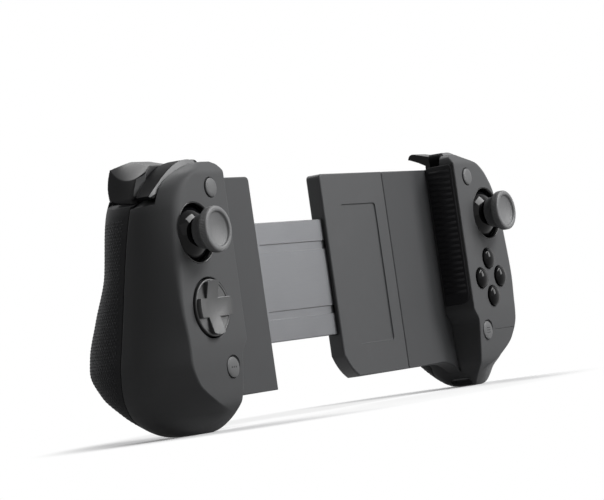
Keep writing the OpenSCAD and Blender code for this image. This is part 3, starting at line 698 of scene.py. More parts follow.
def mouth(name, side, centre, radius):
    """A cutter for a hole in the face, with a rounded mouth."""
    surface, rounding = face_depth(centre[1]), sizes().mouth_round / MM
    arc = [
        (radius + rounding * (1 - math.cos(a)), -surface - rounding * (1 - math.sin(a)))
        for a in np.linspace(0, MOUTH_ARC, 7)
    ]
    brim, top = arc[-1][0] + MOUTH_APRON, arc[-1][1]
    profile = [(0, -3 * WALL), (radius, -3 * WALL), *arc, (brim, top + 0.25), (brim, 3), (0, 3)]
    return turned(name, side, centre, profile)


# Pieces


def each_side(build):
    """Builds the left side's pieces, then the right side's."""
    for name, side in SIDES.items():
        build(name, side)


class CONTROLLER_OT_front_shells(bpy.types.Operator):
    """Builds the two front shells with their parting lips, bays and holes"""

    bl_idname = "controller.front_shells"
    bl_label = "Front shells"

    def execute(self, context):
        each_side(self.build)
        return {"FINISHED"}

    def build(self, name, side):
        """One front shell, hollow, with its bay and the holes in its face."""
        edge, lip_r = sizes().edge_round / MM, sizes().seam_round / MM
        loops = handle_loops(lambda section: front_outline(section, edge, lip_r), fine_heights(LOOP_PITCH))
        shell = new_mesh(f"{name}_shell", side, *loft(loops))
        carve(shell, bay(side, 0, FRONT_DROP), cavity(side))
        for hole, radius in self.holes(name, side):
            carve(shell, mouth(f"{hole}_mouth", side, centre_of(hole, side), radius))
        if name == "right":
            carve(shell, self.port(side), self.line(side))
        finish_piece(shade(shell, weighted=True), f"{name}_handle", "shell", f"{name}_front_shell")

    def holes(self, name, side):
        """Controls that pass through the face, with the radius of their holes."""
        yield f"{name}_stick_ring", half_width(f"{name}_stick_ring", side) - RING_W
        yield f"{name}_top_button", TOP_BUTTON_R + BUTTON_GAP
        yield f"{name}_low_button", LOW_BUTTON_R + BUTTON_GAP
        if name == "left":
            yield "dpad_cap", DPAD_HOLE_R
        else:
            yield from ((f"face_button_{way}", FACE_BUTTON_R + BUTTON_GAP) for way in WAYS)

    def port(self, side):
        """A cutter for the slot of the charging port."""
        middle = (PORT[0] + PORT[1]) / 2
        r, half = (PORT[1] - PORT[0])[:2] / 2 + SEAM_GAP
        angle = np.linspace(0, 2 * np.pi, 48, endpoint=False)
        u = middle[0] + r * np.cos(angle)
        d = middle[1] + r * np.sin(angle) + np.sign(np.sin(angle)) * (half - r)
        return prism("port_slot", side, UP, np.column_stack([u, d]), -1, PORT[1][2] + 2)

    def line(self, side):
        """A cutter for the fine line from the low button to the outer edge."""
        u, z = centre_of("right_low_button", side)
        depth = face_depth(z) + LINE_DEPTH
        low = u + LOW_BUTTON_R + LINE_START, depth - 1.5, z - LINE_HALF
        return block("fine_line", side, low, (HANDLE[0], depth, z + LINE_HALF))


class CONTROLLER_OT_rear_grips(bpy.types.Operator):
    """Builds the two rear grips and the raised pips on them"""

    bl_idname = "controller.rear_grips"
    bl_label = "Rear grips"

    def execute(self, context):
        each_side(self.build)
        return {"FINISHED"}

    def build(self, name, side):
        """One rear grip, with its bay and well, and its pips."""
        lip_r = sizes().seam_round / MM
        heights = fine_heights(LOOP_PITCH)
        room = rows_at(heights)[:, 7] - seam_at(heights * GROW[2]) - SEAM_GAP
        loops = handle_loops(lambda section: rear_outline(section, lip_r), heights[room > LEAST_ROOM])
        grip = new_mesh(f"{name}_grip", side, *loft(loops))
        carve(grip, bay(side, 0, REAR_DROP), well(side, 0), cavity(side))
        finish_piece(shade(grip, weighted=True), f"{name}_handle", "grip", f"{name}_rear_grip")
        finish_piece(self.pips(name, side), f"{name}_handle", "grip")

    def pips(self, name, side):
        """Pips in staggered rows over the grip, each standing square to the surface."""
        pitch = sizes().pip_pitch / MM
        places, leans = [], []
        for j, level in enumerate(np.arange(*PIP_LEVELS, pitch * PIP_ROWS)):
            for point, normal in self.row(level, pitch, j % 2):
                places.append(point)
                leans.append(normal * [side, 1, 1])
        seeds = bpy.data.meshes.new(f"{name}_pip_places")
        seeds.from_pydata([tuple(p) for p in to_frame(side, places)], [], [])
        lean = seeds.attributes.new("lean", "FLOAT_VECTOR", "POINT")
        lean.data.foreach_set("vector", np.array(leans, np.float32).ravel())
        return apply_nodes(link_mesh(f"{name}_grip_pips", seeds), pip_nodes(), {
            "Pip width": sizes().pip_width, "Pip height": sizes().pip_height, "Finish": finishes["grip"]})

    def row(self, level, pitch, odd):
        """Places and normals of one row of pips, with a plain margin along the parting line."""
        count, tilt = 80, 0.05
        rows = rows_at(np.array([level - tilt, level, level + tilt]) / GROW[2])
        sections = [Section(row) for row in rows]
        sections[1].seam = seam_at(level)
        enter, leave = sections[1].parting(SEAM_GAP)[1:]
        palm, rim = np.linspace(enter, math.pi / 2, count), np.linspace(0, leave, count)[1:]
        below, flat, above = (np.vstack([s.outer(palm), s.rearward(rim)]) for s in sections)
        rise = above - below
        along = np.gradient(flat, axis=0)
        run = np.concatenate([[0], np.cumsum(np.linalg.norm(np.diff(flat, axis=0), axis=1))])
        for stop in np.arange(PIP_MARGIN + odd * pitch / 2, run[-1] - PIP_MARGIN, pitch):
            k = int(np.searchsorted(run, stop))
            t = (stop - run[k - 1]) / (run[k] - run[k - 1])
            normal = np.cross(np.append(along[k], 0), np.append(rise[k], 2 * tilt))
            yield np.append(flat[k - 1] * (1 - t) + flat[k] * t, level), normal / np.linalg.norm(normal)


class CONTROLLER_OT_bridge(bpy.types.Operator):
    """Builds the wings, the sliding tongue and the sleeve of the bridge"""

    bl_idname = "controller.bridge"
    bl_label = "Bridge"

    def execute(self, context):
        rounding = sizes().bridge_round / MM
        for name, side in SIDES.items():
            self.wing(name, side, rounding)
        self.tongue()
        self.sleeve(rounding)
        return {"FINISHED"}

    def wing(self, name, side, rounding):
        """A handle's wing, flared into the handle's root at its foot."""
        low, high = node_box(f"{name}_wing", side)
        foot, top = SLEEVE[0][2], SLEEVE[1][2]
        levels = np.linspace(low[2], FLARE_TOP * GROW[2], 16)
        inner = np.interp(levels / GROW[2], SECTIONS[:, 0], SECTIONS[:, 1]) * GROW[0] - WING_LAP
        outline = path(
            (0, top), corner((low[0], top), (BRIDGE_CORNER, 0), (0, -BRIDGE_CORNER), 7),
            (low[0], foot), (FLARE_IN[0], foot), ((FLARE_IN[1], foot), (inner[0], low[2]), 16),
            np.column_stack([np.maximum(inner, 0), levels])[1:-1], (0, levels[-1]),
        )
        wing = plate(f"{name}_bridge_wing", side, outline, low[1], high[1], rounding)
        gap, reach = (SLIDE_GAP, high[0] - low[0] - WING_END) if name == "right" else (SEAT_GAP, SEAT_REACH)
        self.channel(wing, side, gap, low[0] - 1, low[0] + reach)
        finish_piece(shade(wing, 30, True), f"{name}_handle", "wing", f"{name}_wing")

    def channel(self, obj, side, gap, start, end):
        """Cuts the tongue's channel, with a gap round the tongue, from start to end."""
        low, high = TONGUE[0] - gap, TONGUE[1] + gap
        low[0], high[0] = start, end
        carve(obj, block("channel", side, low, high))

    def pockets(self, obj, plate_ends, across, up, depth, rounding):
        """Sinks a shallow pocket, with its ends across and up, into the front and the back of a plate."""
        for face in (plate_ends[0][1], plate_ends[1][1]):
            low, high = (across[0], face - depth, up[0]), (across[1], face + depth, up[1])
            carve(obj, bar("pocket", 1, low, high, rounding))

    def tongue(self):
        """The sliding plate, with two long grooves in each face."""
        low, high = TONGUE
        tongue = bar("bridge_slide_tongue", 1, low, high, TONGUE_ROUND)
        across = low[0] + GROOVE_START, high[0] + 2
        for place in GROOVE_PLACES:
            z = low[2] + (high[2] - low[2]) * place
            self.pockets(tongue, TONGUE, across, (z - GROOVE_HALF, z + GROOVE_HALF), GROOVE_DEPTH, 0.3)
        finish_piece(shade(tongue, 30, True), "left_handle", "tongue", "bridge_tongue")

    def sleeve(self, rounding):
        """The outer sleeve, chamfered at its free end, with shallow panels in its faces."""
        low, high = SLEEVE
        near = low[[0, 2]] + SLEEVE_CHAMFER * 0.35
        outline = path(
            (low[0], low[2] + SLEEVE_CHAMFER), (near, (low[0] + SLEEVE_CHAMFER, low[2]), 9),
            (high[0], low[2]), (high[0], high[2]),
            corner((low[0], high[2]), (BRIDGE_CORNER, 0), (0, -BRIDGE_CORNER), 7),
        )
        sleeve = plate("bridge_outer_sleeve", 1, outline, low[1], high[1], rounding)
        self.channel(sleeve, 1, SLIDE_GAP, low[0] - 1, high[0] + 1)
        free, root = PANEL_INSET
        across, up = (low[0] + free, high[0] - root), (low[2] + free, high[2] - free)
        self.pockets(sleeve, SLEEVE, across, up, PANEL_DEPTH, 0.45)
        finish_piece(shade(sleeve, 30, True), "right_handle", "sleeve", "bridge_sleeve")


class CONTROLLER_OT_slot_pads(bpy.types.Operator):
    """Builds the ribbed rubber pads at the ends of the slot"""

    bl_idname = "controller.slot_pads"
    bl_label = "Slot pads"

    def execute(self, context):
        each_side(self.build)
        return {"FINISHED"}

    def build(self, name, side):
        """One pad, rounded along its outer edge, and its ribs."""
        low, high = node_box(f"{name}_slot_pad", side)
        large, small = PAD_CORNERS
        outline = path(
            (low[1], low[2] + large), ((low[1], low[2] + 0.3), (low[1] + large, low[2]), 8),
            (high[1], low[2]), (high[1], high[2]), corner((low[1], high[2]), (small, 0), (0, -small), 6),
        )
        loops = [loop_at(OUT, -u, p) for u, p in pillow(outline, 0, -low[0] - RIB_T, *PAD_EDGES)]
        pad = shade(new_mesh(f"{name}_pad", side, *loft(loops)))
        finish_piece(pad, f"{name}_handle", "pad", f"{name}_slot_pad")
        finish_piece(self.ribs(name, side, low, high), f"{name}_handle", "pad")

    def ribs(self, name, side, low, high):
        """Low round ribs across the pad."""
        count = sizes().pad_ribs
        first, last = low[2] + RIB_ENDS[0], high[2] - RIB_ENDS[1]
        start = to_frame(side, [low[0] + RIB_T, (low[1] + high[1]) / 2, first])
        obj = link_mesh(f"{name}_pad_ribs", bpy.data.meshes.new(f"{name}_pad_ribs"))
        return apply_nodes(obj, rib_nodes(), {
            "Count": count, "Start": tuple(start), "Pitch": (last - first) / (count - 1) * MM,
            "Length": (high[1] - low[1] - RIB_INSET) * MM, "Radius": RIB_R * MM, "Height": RIB_T / RIB_R,
            "Finish": finishes["pad"]})


class CONTROLLER_OT_sticks(bpy.types.Operator):
    """Builds the stick caps, their ball-shaped skirts and the rings round the wells"""

    bl_idname = "controller.sticks"
    bl_label = "Thumb sticks"

    def execute(self, context):
        each_side(self.build)
        return {"FINISHED"}

    def build(self, name, side):
        """One stick's cap and skirt, and the ring of its well."""
        centre = centre_of(f"{name}_stick_ring", side)
        seat = -node_box(f"{name}_stick_skirt", side)[0][1]
        self.cap(name, side, centre, seat)
        self.skirt(name, side, centre, seat)
        self.ring(name, side, centre)

    def cap(self, name, side, centre, seat):
        """A dished cap with a round rim and a collar that reaches down round the neck."""
        low, high = node_box(f"{name}_stick_cap", side)
        r, top, foot = half_width(f"{name}_stick_cap", side), -low[1], -high[1]
        bore_top = seat + 0.45 * (top - seat) + 0.7
        collar, neck = 0.75 * r, NECK_R + 0.05
        t = np.linspace(0, 1, 18)
        profile = path(
            (0, bore_top), (BORE_R, bore_top), (BORE_R, seat), (neck, seat), (neck, foot),
            corner((collar, foot), (-0.4, 0), (0, 0.5), 5),
            ((collar, seat - 0.3), (r - 0.5, top - 3.1), 14), ((r, top - 2.9), (r, top - 2.4), 6),
            corner((r, top), (0, -1.1), (-1.0, 0), 12),
            (r - 1.25, top), ((r - 1.9, top), (r - 2.1, top - 0.6), 10),
            np.column_stack([(r - 2.2) * (1 - t), top - 0.72 - 0.9 * t * (2 - t)]),
        )
        cap = turned(f"{name}_cap", side, centre, profile, 2 * KNURLS)
        self.knurl(cap, side, centre, r, top)
        finish_piece(shade(cap, 40), f"{name}_stick", "cap", f"{name}_stick_cap")

    def knurl(self, cap, side, centre, r, top):
        """Fine upright ridges round the rim: every second point of its wall stands back a little."""
        middle = to_frame(side, (centre[0], 0, centre[1]))
        for k, vertex in enumerate(cap.data.vertices):
            height = (FACE_Y - vertex.co.y) / MM
            if k % 2 and top - KNURL_SPAN[0] < height < top - KNURL_SPAN[1]:
                away = vertex.co - Vector(middle)
                away.y = 0
                if away.length > (r - 0.3) * MM:
                    vertex.co -= away.normalized() * KNURL_DEPTH * MM

    def skirt(self, name, side, centre, seat):
        """The glossy ball-shaped skirt with its neck."""
        hollow_r = BALL_R - BALL_SKIN
        neck_a, bore_a = math.asin(NECK_ROOT_R / BALL_R), math.asin(BORE_R / hollow_r)
        ball = [
            (r * math.sin(a), r * math.cos(a) - PIVOT_DEPTH)
            for r, start, end in ((hollow_r, bore_a, BALL_ANGLE), (BALL_R, BALL_ANGLE, neck_a))
            for a in np.linspace(start, end, 40)
        ]
        profile = path((BORE_R, seat), ball, ((NECK_R, ball[-1][1] + 0.1), (NECK_R, seat), 5))
        skirt = turned(f"{name}_skirt", side, centre, profile, 128, ring=True)
        finish_piece(shade(skirt, 40), f"{name}_stick", "skirt", f"{name}_stick_skirt")

    def ring(self, name, side, centre):
        """The polished liner of a well: a low lip on the face and a chamfer down into the well."""
        inner = half_width(f"{name}_stick_ring", side) - RING_W
        profile = path(
            (inner - 0.25, -1.7), (inner + 0.02, -1.7), (inner + 0.02, -0.02), (inner + 0.55, -0.02),
            (inner + 0.55, 0.0), ((inner + 0.5, 0.14), (inner + 0.3, 0.12), 6),
            (inner + 0.2, 0.1), ((inner, 0.0), (inner - 0.25, -0.75), 8),
        )
        ring = turned(f"{name}_ring", side, centre, profile, 128, ring=True)
        finish_piece(shade(ring, 40), f"{name}_handle", "ring", f"{name}_stick_ring")


class CONTROLLER_OT_direction_pad(bpy.types.Operator):
    """Builds the direction pad: a cross of five facets on a hollow disc"""

    bl_idname = "controller.direction_pad"
    bl_label = "Direction pad"

    def execute(self, context):
        side = SIDES["left"]
        low, high = node_box("dpad_cap", side)
        centre, r = centre_of("dpad_cap", side), half_width("dpad_cap", side)
        pad = turned("direction_pad", side, centre, path(
            (0, -1.0), (r - 0.3, -1.0), ((r, -1.0), (r, -0.7), 6),
            (r, 0.2), ((r, 0.75), (r - 0.45, 0.75), 12), ((r - 0.75, 0.75), (r - 0.9, 0.5), 8),
            (DPAD_ARM, 0.1), (0, 0.1),
        ), 128)
        cross = self.cross(side, centre, r - 0.55)
        modify(cross, "BEVEL", width=DPAD_EDGE * MM, segments=2, angle_limit=math.radians(30))
        carve(pad, cross, operation="UNION")
        legs = turn_outwards(link_mesh("dpad_legs", NODES["dpad_cap"].data.copy()))
        behind = block("behind", side, (low[0] - 1, 0.7, low[2] - 1), high + 1)
        carve(pad, carve(legs, behind, operation="INTERSECT"), operation="UNION")
        finish_piece(shade(pad, 9), "dpad", "dpad", "dpad_cap")
        return {"FINISHED"}

    def cross(self, side, centre, reach):
        """The cross: a flat middle and four arms that rise to their round ends."""
        low, high = DPAD_RISE
        across = np.linspace(DPAD_ARM, -DPAD_ARM, 15)
        along = np.sqrt(reach**2 - across**2)
        slope = (along - DPAD_ARM) / (reach - DPAD_ARM)
        arm = [*zip(across, along, low + (high - low) * slope), (-DPAD_ARM, DPAD_ARM, low)]
        points, faces, size = [], [], len(arm)
        for k in range(4):
            way = np.linalg.matrix_power(np.array([[0, -1], [1, 0]]), k)
            points += [(*(way @ p[:2]), p[2]) for p in arm]
            faces.append(tuple((k * size + j - 1) % (4 * size) for j in range(size + 1)))
        count = len(points)
        faces.append(tuple(k * size + size - 1 for k in range(4)))
        faces += [(k, (k + 1) % count, count + (k + 1) % count, count + k) for k in range(count)]
        faces.append(tuple(range(count, 2 * count))[::-1])
        top = np.array(points)
        every = np.vstack([top, top * [1, 1, 0] - [0, 0, 0.5]])
        placed = np.column_stack([centre[0] + every[:, 0], -every[:, 2], centre[1] + every[:, 1]])
        return new_mesh("dpad_cross", side, placed, faces)


class CONTROLLER_OT_buttons(bpy.types.Operator):
    """Builds the glossy face buttons, the small buttons and their generic marks"""

    bl_idname = "controller.buttons"
    bl_label = "Buttons"

    def execute(self, context):
        for way in WAYS:
            self.button(f"{way}_button", 1, f"face_button_{way}", FACE_BUTTON_R, FACE_CROWN, "button")
        for name, side in SIDES.items():
            for place, radius in (("top", TOP_BUTTON_R), ("low", LOW_BUTTON_R)):
                node = f"{name}_{place}_button"
                self.button(f"{name}_{place}_key", side, node, radius, SMALL_CROWN, "small_button")
            self.mark(name, side)
        return {"FINISHED"}

    def button(self, name, side, node, r, crown, slot):
        """A button with a crown, a flange behind the face and a stem."""
        centre = centre_of(node, side)
        top, end, flange = self.top(node, side), -node_box(node, side)[1][1], half_width(node, side)
        seat = -WALL - FLANGE_GAP - face_depth(centre[1] - r)
        foot = max(end, seat - FLANGE_T)
        power = 0.95 if crown > 1 else 0.7
        profile = [
            (0, end), (STEM_R, end), (STEM_R, foot), (flange, foot), (flange, seat), (r, seat),
            *((r * math.cos(a) ** power, top - crown + crown * math.sin(a))
              for a in np.linspace(0, math.pi / 2 - 1e-3, 20)),
            (0, top),
        ]
        finish_piece(shade(turned(name, side, centre, profile), 40), node, slot, node)

    def top(self, node, side):
        """Height of a button's top: a little proud of the face where the face recedes."""
        proud = -node_box(node, side)[0][1]
        return min(proud, LOW_PROUD - face_depth(centre_of(node, side)[1])) if "low" in node else proud

    def mark(self, name, side):
        """Three bars on the right low button, or three dots on the left one."""
        node = f"{name}_low_button"
        u, z = centre_of(node, side)
        top = self.top(node, side)
        root, face = top - MARK_DEPTH, top + MARK_PROUD
        long, thick = BAR_HALF
        pieces = []
        for k in (-1, 0, 1):
            if name == "right":
                middle = z + k * BAR_PITCH
                low, high = (u - long, -face, middle - thick), (u + long, -root, middle + thick)
                pieces.append(bar("bar", side, low, high, 0.02))
            else:
                dot = [(0, root), (DOT_R, root), (DOT_R, face), (0, face)]
                pieces.append(turned("dot", side, (u + k * DOT_PITCH, z), dot, 24))
        mark = join(*pieces)
        mark.name = f"{name}_key_mark"
        finish_piece(mark, node, "small_button", finish="mark")


class CONTROLLER_OT_triggers(bpy.types.Operator):
    """Builds the triggers and the bumpers"""

    bl_idname = "controller.triggers"
    bl_label = "Triggers and bumpers"

    def execute(self, context):
        each_side(self.build)
        return {"FINISHED"}

    def build(self, name, side):
        """One trigger and one bumper."""
        self.trigger(name, side)
        self.bumper(name, side)

    def trigger(self, name, side):
        """The trigger's lobe: its side outline, under a brow with a crest along its outer edge."""
        front, tip, rise = TRIGGER_FRONT, TRIGGER_TIP, TRIGGER_RISE
        outline = [0, BAY_FLOOR] + path(
            (front, 5.8), (front, 11.0), ((front + 6, 12.6), (tip - 3.2, rise - 0.3), 20),
            ((tip - 0.6, rise), (tip - 0.3, 10.2), 14), ((tip + 0.6, 5.0), (tip - 1.2, 0.2), 20),
            (tip - 2.2, TRIGGER_FOOT), (front + 2.2, TRIGGER_FOOT), (front + 1.5, 2.2),
        )
        ends = TRIGGER_IN, TRIGGER_OUT + 2
        lobe = prism(f"{name}_trigger_lobe", side, OUT, outline, *ends)
        carve(lobe, self.brow(side), operation="INTERSECT")
        slot_low, slot_high = (LUG_SLOT[0], 0, BAY_FLOOR - 1), (LUG_SLOT[1], front + 6, BAY_FLOOR + LUG_TOP)
        lug_slot = block("lug_slot", side, slot_low, slot_high)
        carve(lobe, *self.floors(side), lug_slot, self.hook(side))
        shade(soften(lobe, TRIGGER_GRID, 5), 60)
        finish_piece(lobe, f"{name}_trigger", "trigger", f"{name}_trigger")
        # A lighter strip along the front edge: a painted highlight.
        edges = [loop_at(BACK, d, [0, BAY_FLOOR] + self.flank(d)[2:18]) for d in front + FACET_STEPS]
        within = prism("side_outline", side, OUT, outline, *ends)
        self.facet(f"{name}_trigger", side, "trigger", edges, within)

    def floors(self, side):
        """Cutters for the bay's floor and its well, where they stand when the trigger is pulled."""
        outer, run = BAY_SHOULDER
        pin = np.array([TRIGGER_FRONT + PIN_BACK, PIN_UP])
        cos, sin = math.cos(TRIGGER_PULL), math.sin(TRIGGER_PULL)
        turn = np.array([[cos, -sin], [sin, cos]])
        start, edge = TRIGGER_IN - 1, WELL_FLOOR - BAY_FLOOR
        lip = -REAR_DROP * (WELL_OUT - outer) / run
        end = outer + 1.5 * run, -1.5 * REAR_DROP
        stretches = [
            ((TRIGGER_FRONT - 2, WELL_ENDS[0]), [(start, 0), (outer, 0), end]),
            ((WELL_ENDS[0] - 0.3, WELL_ENDS[1] + 3),
             [(start, edge), (WELL_OUT, edge), (WELL_OUT, lip), end]),
        ]
        for depths, line in stretches:
            flat = [(line[0][0], -9)] + line + [(line[-1][0], -9)]
            loops = []
            for depth in depths:
                swung = [turn @ (np.array([depth, z + 0.15]) - pin) + pin for _, z in flat]
                loops.append([(u, d, BAY_FLOOR + z) for (u, _), (d, z) in zip(flat, swung)])
            yield new_mesh("swung_floor", side, *loft(loops))

    def hook(self, side):
        """A cutter for the hollow under the trigger's blade, on its inner side."""
        front, tip = TRIGGER_FRONT, TRIGGER_TIP
        outline = np.array([
            [front + 5, -4], [front + 5, 8.2], [front + 8.3, 10.0],
            [tip - 1.5, 11.6], [tip + 2, 12.5], [tip + 2, -4],
        ])
        return prism("hook", side, OUT, outline + [0, BAY_FLOOR], TRIGGER_IN - 1, HOOK_OUT)

    def flank(self, d):
        """The trigger's outer side at a depth, from the crest down, set back along its front edge."""
        stops = TRIGGER_FRONT, TRIGGER_FRONT + 6.5, TRIGGER_TIP - 1
        u, z = through(stops, CREST_OUT)(d), through(stops, CREST_UP)(d)
        foot = TRIGGER_OUT + 1.2 - 4.4 * max(0, 1 - max(0, d - TRIGGER_FRONT) / 3.2)
        return bezier((u, z), (u + 0.55 * (foot - u), 0.6 * z), (foot, 0.0), 20)

    def brow(self, side):
        """The trigger's outline from the front, changing with depth: top, crest and flank."""
        crown = TRIGGER_RISE + 0.6
        start = np.array([TRIGGER_IN + 8.5, crown])
        loops = []
        for d in np.linspace(TRIGGER_FRONT - 0.5, TRIGGER_TIP + 0.5, 60):
            flank = self.flank(d)
            loops.append(loop_at(BACK, d, [0, BAY_FLOOR] + path(
                (TRIGGER_IN, TRIGGER_FOOT), corner((TRIGGER_IN, crown), (0, -1.2), (1.2, 0), 6),
                start, (start + 0.64 * (flank[0] - start) + [0, 0.3], flank[0], 24),
                flank[1:], (flank[-1][0] - 0.4, TRIGGER_FOOT),
            )))
        return new_mesh("brow", side, *loft(loops))

    def bumper(self, name, side):
        """The bumper, with a wide bevel along its front edge that narrows down the shoulder."""
        low, high = BUMPER
        inner, outer = low[0], high[0] - 0.6
        rings = [
            (low[1], 9.6, [(8, 9.6), (17, 7.7), (25.1, 3.1), (outer - 0.5, -1.1)]),
            (low[1] + 1.15, 12.0, [(8, 12.0), (17, 10.7), (24, 7.2), (outer, -0.3)]),
            (high[1], 12.1, [(8, 12.1), (17, 11.4), (24.5, 8.6), (outer + 0.6, -0.2)]),
        ]
        foot = [(outer - 1.0, -1.3), (outer - 6, 0.6), (outer - 8.5, 1.5), (inner + 5, 2.2)]
        loops = []
        for depth, rise, stops in rings:
            curve = np.poly1d(np.polyfit(*zip(*stops), 3))
            across = np.linspace(stops[0][0], stops[-1][0], 30)
            loops.append(loop_at(BACK, depth, [0, BAY_FLOOR] + path(
                (inner + 0.8, 6.4), corner((inner, rise), (0, -2.5), (2.8, 0), 12),
                np.column_stack([across, curve(across)]), foot,
            )))
        between = [a * (1 - t) + b * t for a, b in zip(loops, loops[1:]) for t in np.arange(0, 1, 0.1)]
        bumper = new_mesh(f"{name}_bumper_bar", side, *loft([*between, loops[-1]]))
        shade(soften(bumper, BUMPER_GRID, 4), 60)
        finish_piece(bumper, f"{name}_bumper", "bumper", f"{name}_bumper")
        # A lighter strip along the bevel, narrowing down the shoulder: a painted highlight.
        edge, rear = (loop[12:-len(foot)] for loop in loops[:2])
        taper = np.clip(np.linspace(3.0, 0.4, len(edge)), 0, 1)[:, None]
        self.facet(f"{name}_bumper", side, "bumper", [rear + taper * (edge - rear), rear])

    def facet(self, name, side, slot, edges, within=None):
        """A painted highlight: a light strip let into the bevel of a front edge, over lines from its front
        to its rear.
        """
        lines = np.array(edges)
        outer, inner = lines + FACET_SKIN, lines + FACET_ROOT
        loops = np.concatenate([outer, inner[::-1]]).transpose(1, 0, 2)
        facet = new_mesh(f"{name}_edge", side, *loft(loops))
        if within:
            carve(facet, within, operation="INTERSECT")
        finish_piece(shade(facet, 30), name, slot, finish="facet")


class CONTROLLER_OT_inner_pieces(bpy.types.Operator):
    """Gives the construction nodes that stay, inside the handles, their finishes"""

    bl_idname = "controller.inner_pieces"
    bl_label = "Inner pieces"

    def execute(self, context):
        slots = {row["node"]: row["material_slot"] for row in frame["record"]["subparts"]}
        for name, obj in NODES.items():
            if not obj.hide_render:
                obj.data.materials.clear()
                obj.data.materials.append(finishes["port" if name == "charge_port" else slots[name]])
        return {"FINISHED"}


# Geometry nodes for what repeats


def apply_nodes(obj, tree, values):
    """Runs a node tree on an object with named values, and keeps the result as a plain mesh."""
    modifier = obj.modifiers.new("repeat", "NODES")
    modifier.node_group = tree
    for item in tree.interface.items_tree:
        if item.in_out == "INPUT" and item.name in values:
            modifier[item.identifier] = values[item.name]
    settle(obj)
    if not obj.data.polygons:
        raise RuntimeError(f"{obj.name} came out empty")
    return obj


def new_tree(name, inputs):
    """A geometry tree with its named inputs and its geometry output, and the sockets of its inputs."""
    tree = bpy.data.node_groups.new(name, "GeometryNodeTree")
    for label, kind in {"Geometry": "Geometry", **inputs, "Finish": "Material"}.items():
        tree.interface.new_socket(label, in_out="INPUT", socket_type=f"NodeSocket{kind}")
    tree.interface.new_socket("Geometry", in_out="OUTPUT", socket_type="NodeSocketGeometry")
    return tree, tree_node(tree, "NodeGroupInput").outputs


def tree_node(tree, kind, inputs=None, **settings):
    """One node of a tree: its settings, then its values or links, where a node is its first output."""
    node = tree.nodes.new(kind)
    for key, value in settings.items():
        setattr(node, key, value)
    for key, value in (inputs or {}).items():
        if isinstance(value, bpy.types.Node):
            value = value.outputs[0]
        if isinstance(value, bpy.types.NodeSocket):
            tree.links.new(value, node.inputs[key])
        else:
            node.inputs[key].default_value = value
    return node


def close_tree(tree, given, inputs):
    """Puts instances on points, makes them real and smooth, sets the finish and closes the tree."""
    last = tree_node(tree, "GeometryNodeInstanceOnPoints", inputs)
    finish = {"Material": given["Finish"]}
    for kind, more in (("RealizeInstances", {}), ("SetShadeSmooth", {}), ("SetMaterial", finish)):
        last = tree_node(tree, f"GeometryNode{kind}", {"Geometry": last, **more})
    tree_node(tree, "NodeGroupOutput", {"Geometry": last})
    return tree


def pip_nodes():
    """A low blunt cone on every point, standing along the point's lean."""
    tree, given = new_tree("grip_pips", {"Pip width": "Float", "Pip height": "Float"})
    half = tree_node(tree, "ShaderNodeMath", {0: given["Pip width"], 1: 0.45}, operation="MULTIPLY")
    cone = tree_node(tree, "GeometryNodeMeshCone", {
        "Vertices": 6, "Side Segments": 1, "Fill Segments": 1, "Radius Top": half,
        "Radius Bottom": given["Pip width"], "Depth": given["Pip height"]}, fill_type="TRIANGLE_FAN")
    lean = tree_node(tree, "GeometryNodeInputNamedAttribute", {"Name": "lean"}, data_type="FLOAT_VECTOR")
    turn = tree_node(tree, "FunctionNodeAlignRotationToVector", {"Vector": lean}, axis="Z")
    return close_tree(tree, given, {"Points": given["Geometry"], "Instance": cone, "Rotation": turn})


def rib_nodes():
    """A row of low round ribs, one above the other."""
    lengths = dict.fromkeys(("Pitch", "Length", "Radius", "Height"), "Float")
    tree, given = new_tree("pad_ribs", {"Count": "Int", "Start": "Vector", **lengths})
    step = tree_node(tree, "ShaderNodeCombineXYZ", {"Z": given["Pitch"]})
    line = tree_node(tree, "GeometryNodeMeshLine", {
        "Count": given["Count"], "Start Location": given["Start"], "Offset": step}, mode="OFFSET")
    rib = tree_node(tree, "GeometryNodeMeshCylinder", {
        "Vertices": 20, "Radius": given["Radius"], "Depth": given["Length"]}, fill_type="TRIANGLE_FAN")
    flat = tree_node(tree, "ShaderNodeCombineXYZ", {"X": given["Height"], "Y": 1.0, "Z": 1.0})
    return close_tree(tree, given, {
        "Points": line, "Instance": rib, "Rotation": (math.pi / 2, 0, 0), "Scale": flat})


# Finishes


class Value:
    """A number's socket in a shader expression: each operator adds its Math node."""

    def __init__(self, finish, socket):
        self.finish = finish
        self.socket = socket

    def math(self, operation, a, b):
        """One Math node on two numbers."""
        return self.finish.value("ShaderNodeMath", {0: a, 1: b}, operation=operation)

    def __add__(self, other):
        return self.math("ADD", self, other)

    def __radd__(self, other):
        return self.math("ADD", other, self)

    def __sub__(self, other):
        return self.math("SUBTRACT", self, other)

    def __rsub__(self, other):
        return self.math("SUBTRACT", other, self)

    def __mul__(self, other):
        return self.math("MULTIPLY", self, other)

    def __rmul__(self, other):
        return self.math("MULTIPLY", other, self)

    def maximum(self, other):
        """The greater of two numbers."""
        return self.math("MAXIMUM", self, other)

    def ramp(self, low, high):
        """0 below low, 1 above high and a smooth step between."""
        inputs = {"Value": self, "From Min": low, "From Max": high}
        return self.finish.value("ShaderNodeMapRange", inputs, interpolation_type="SMOOTHSTEP")


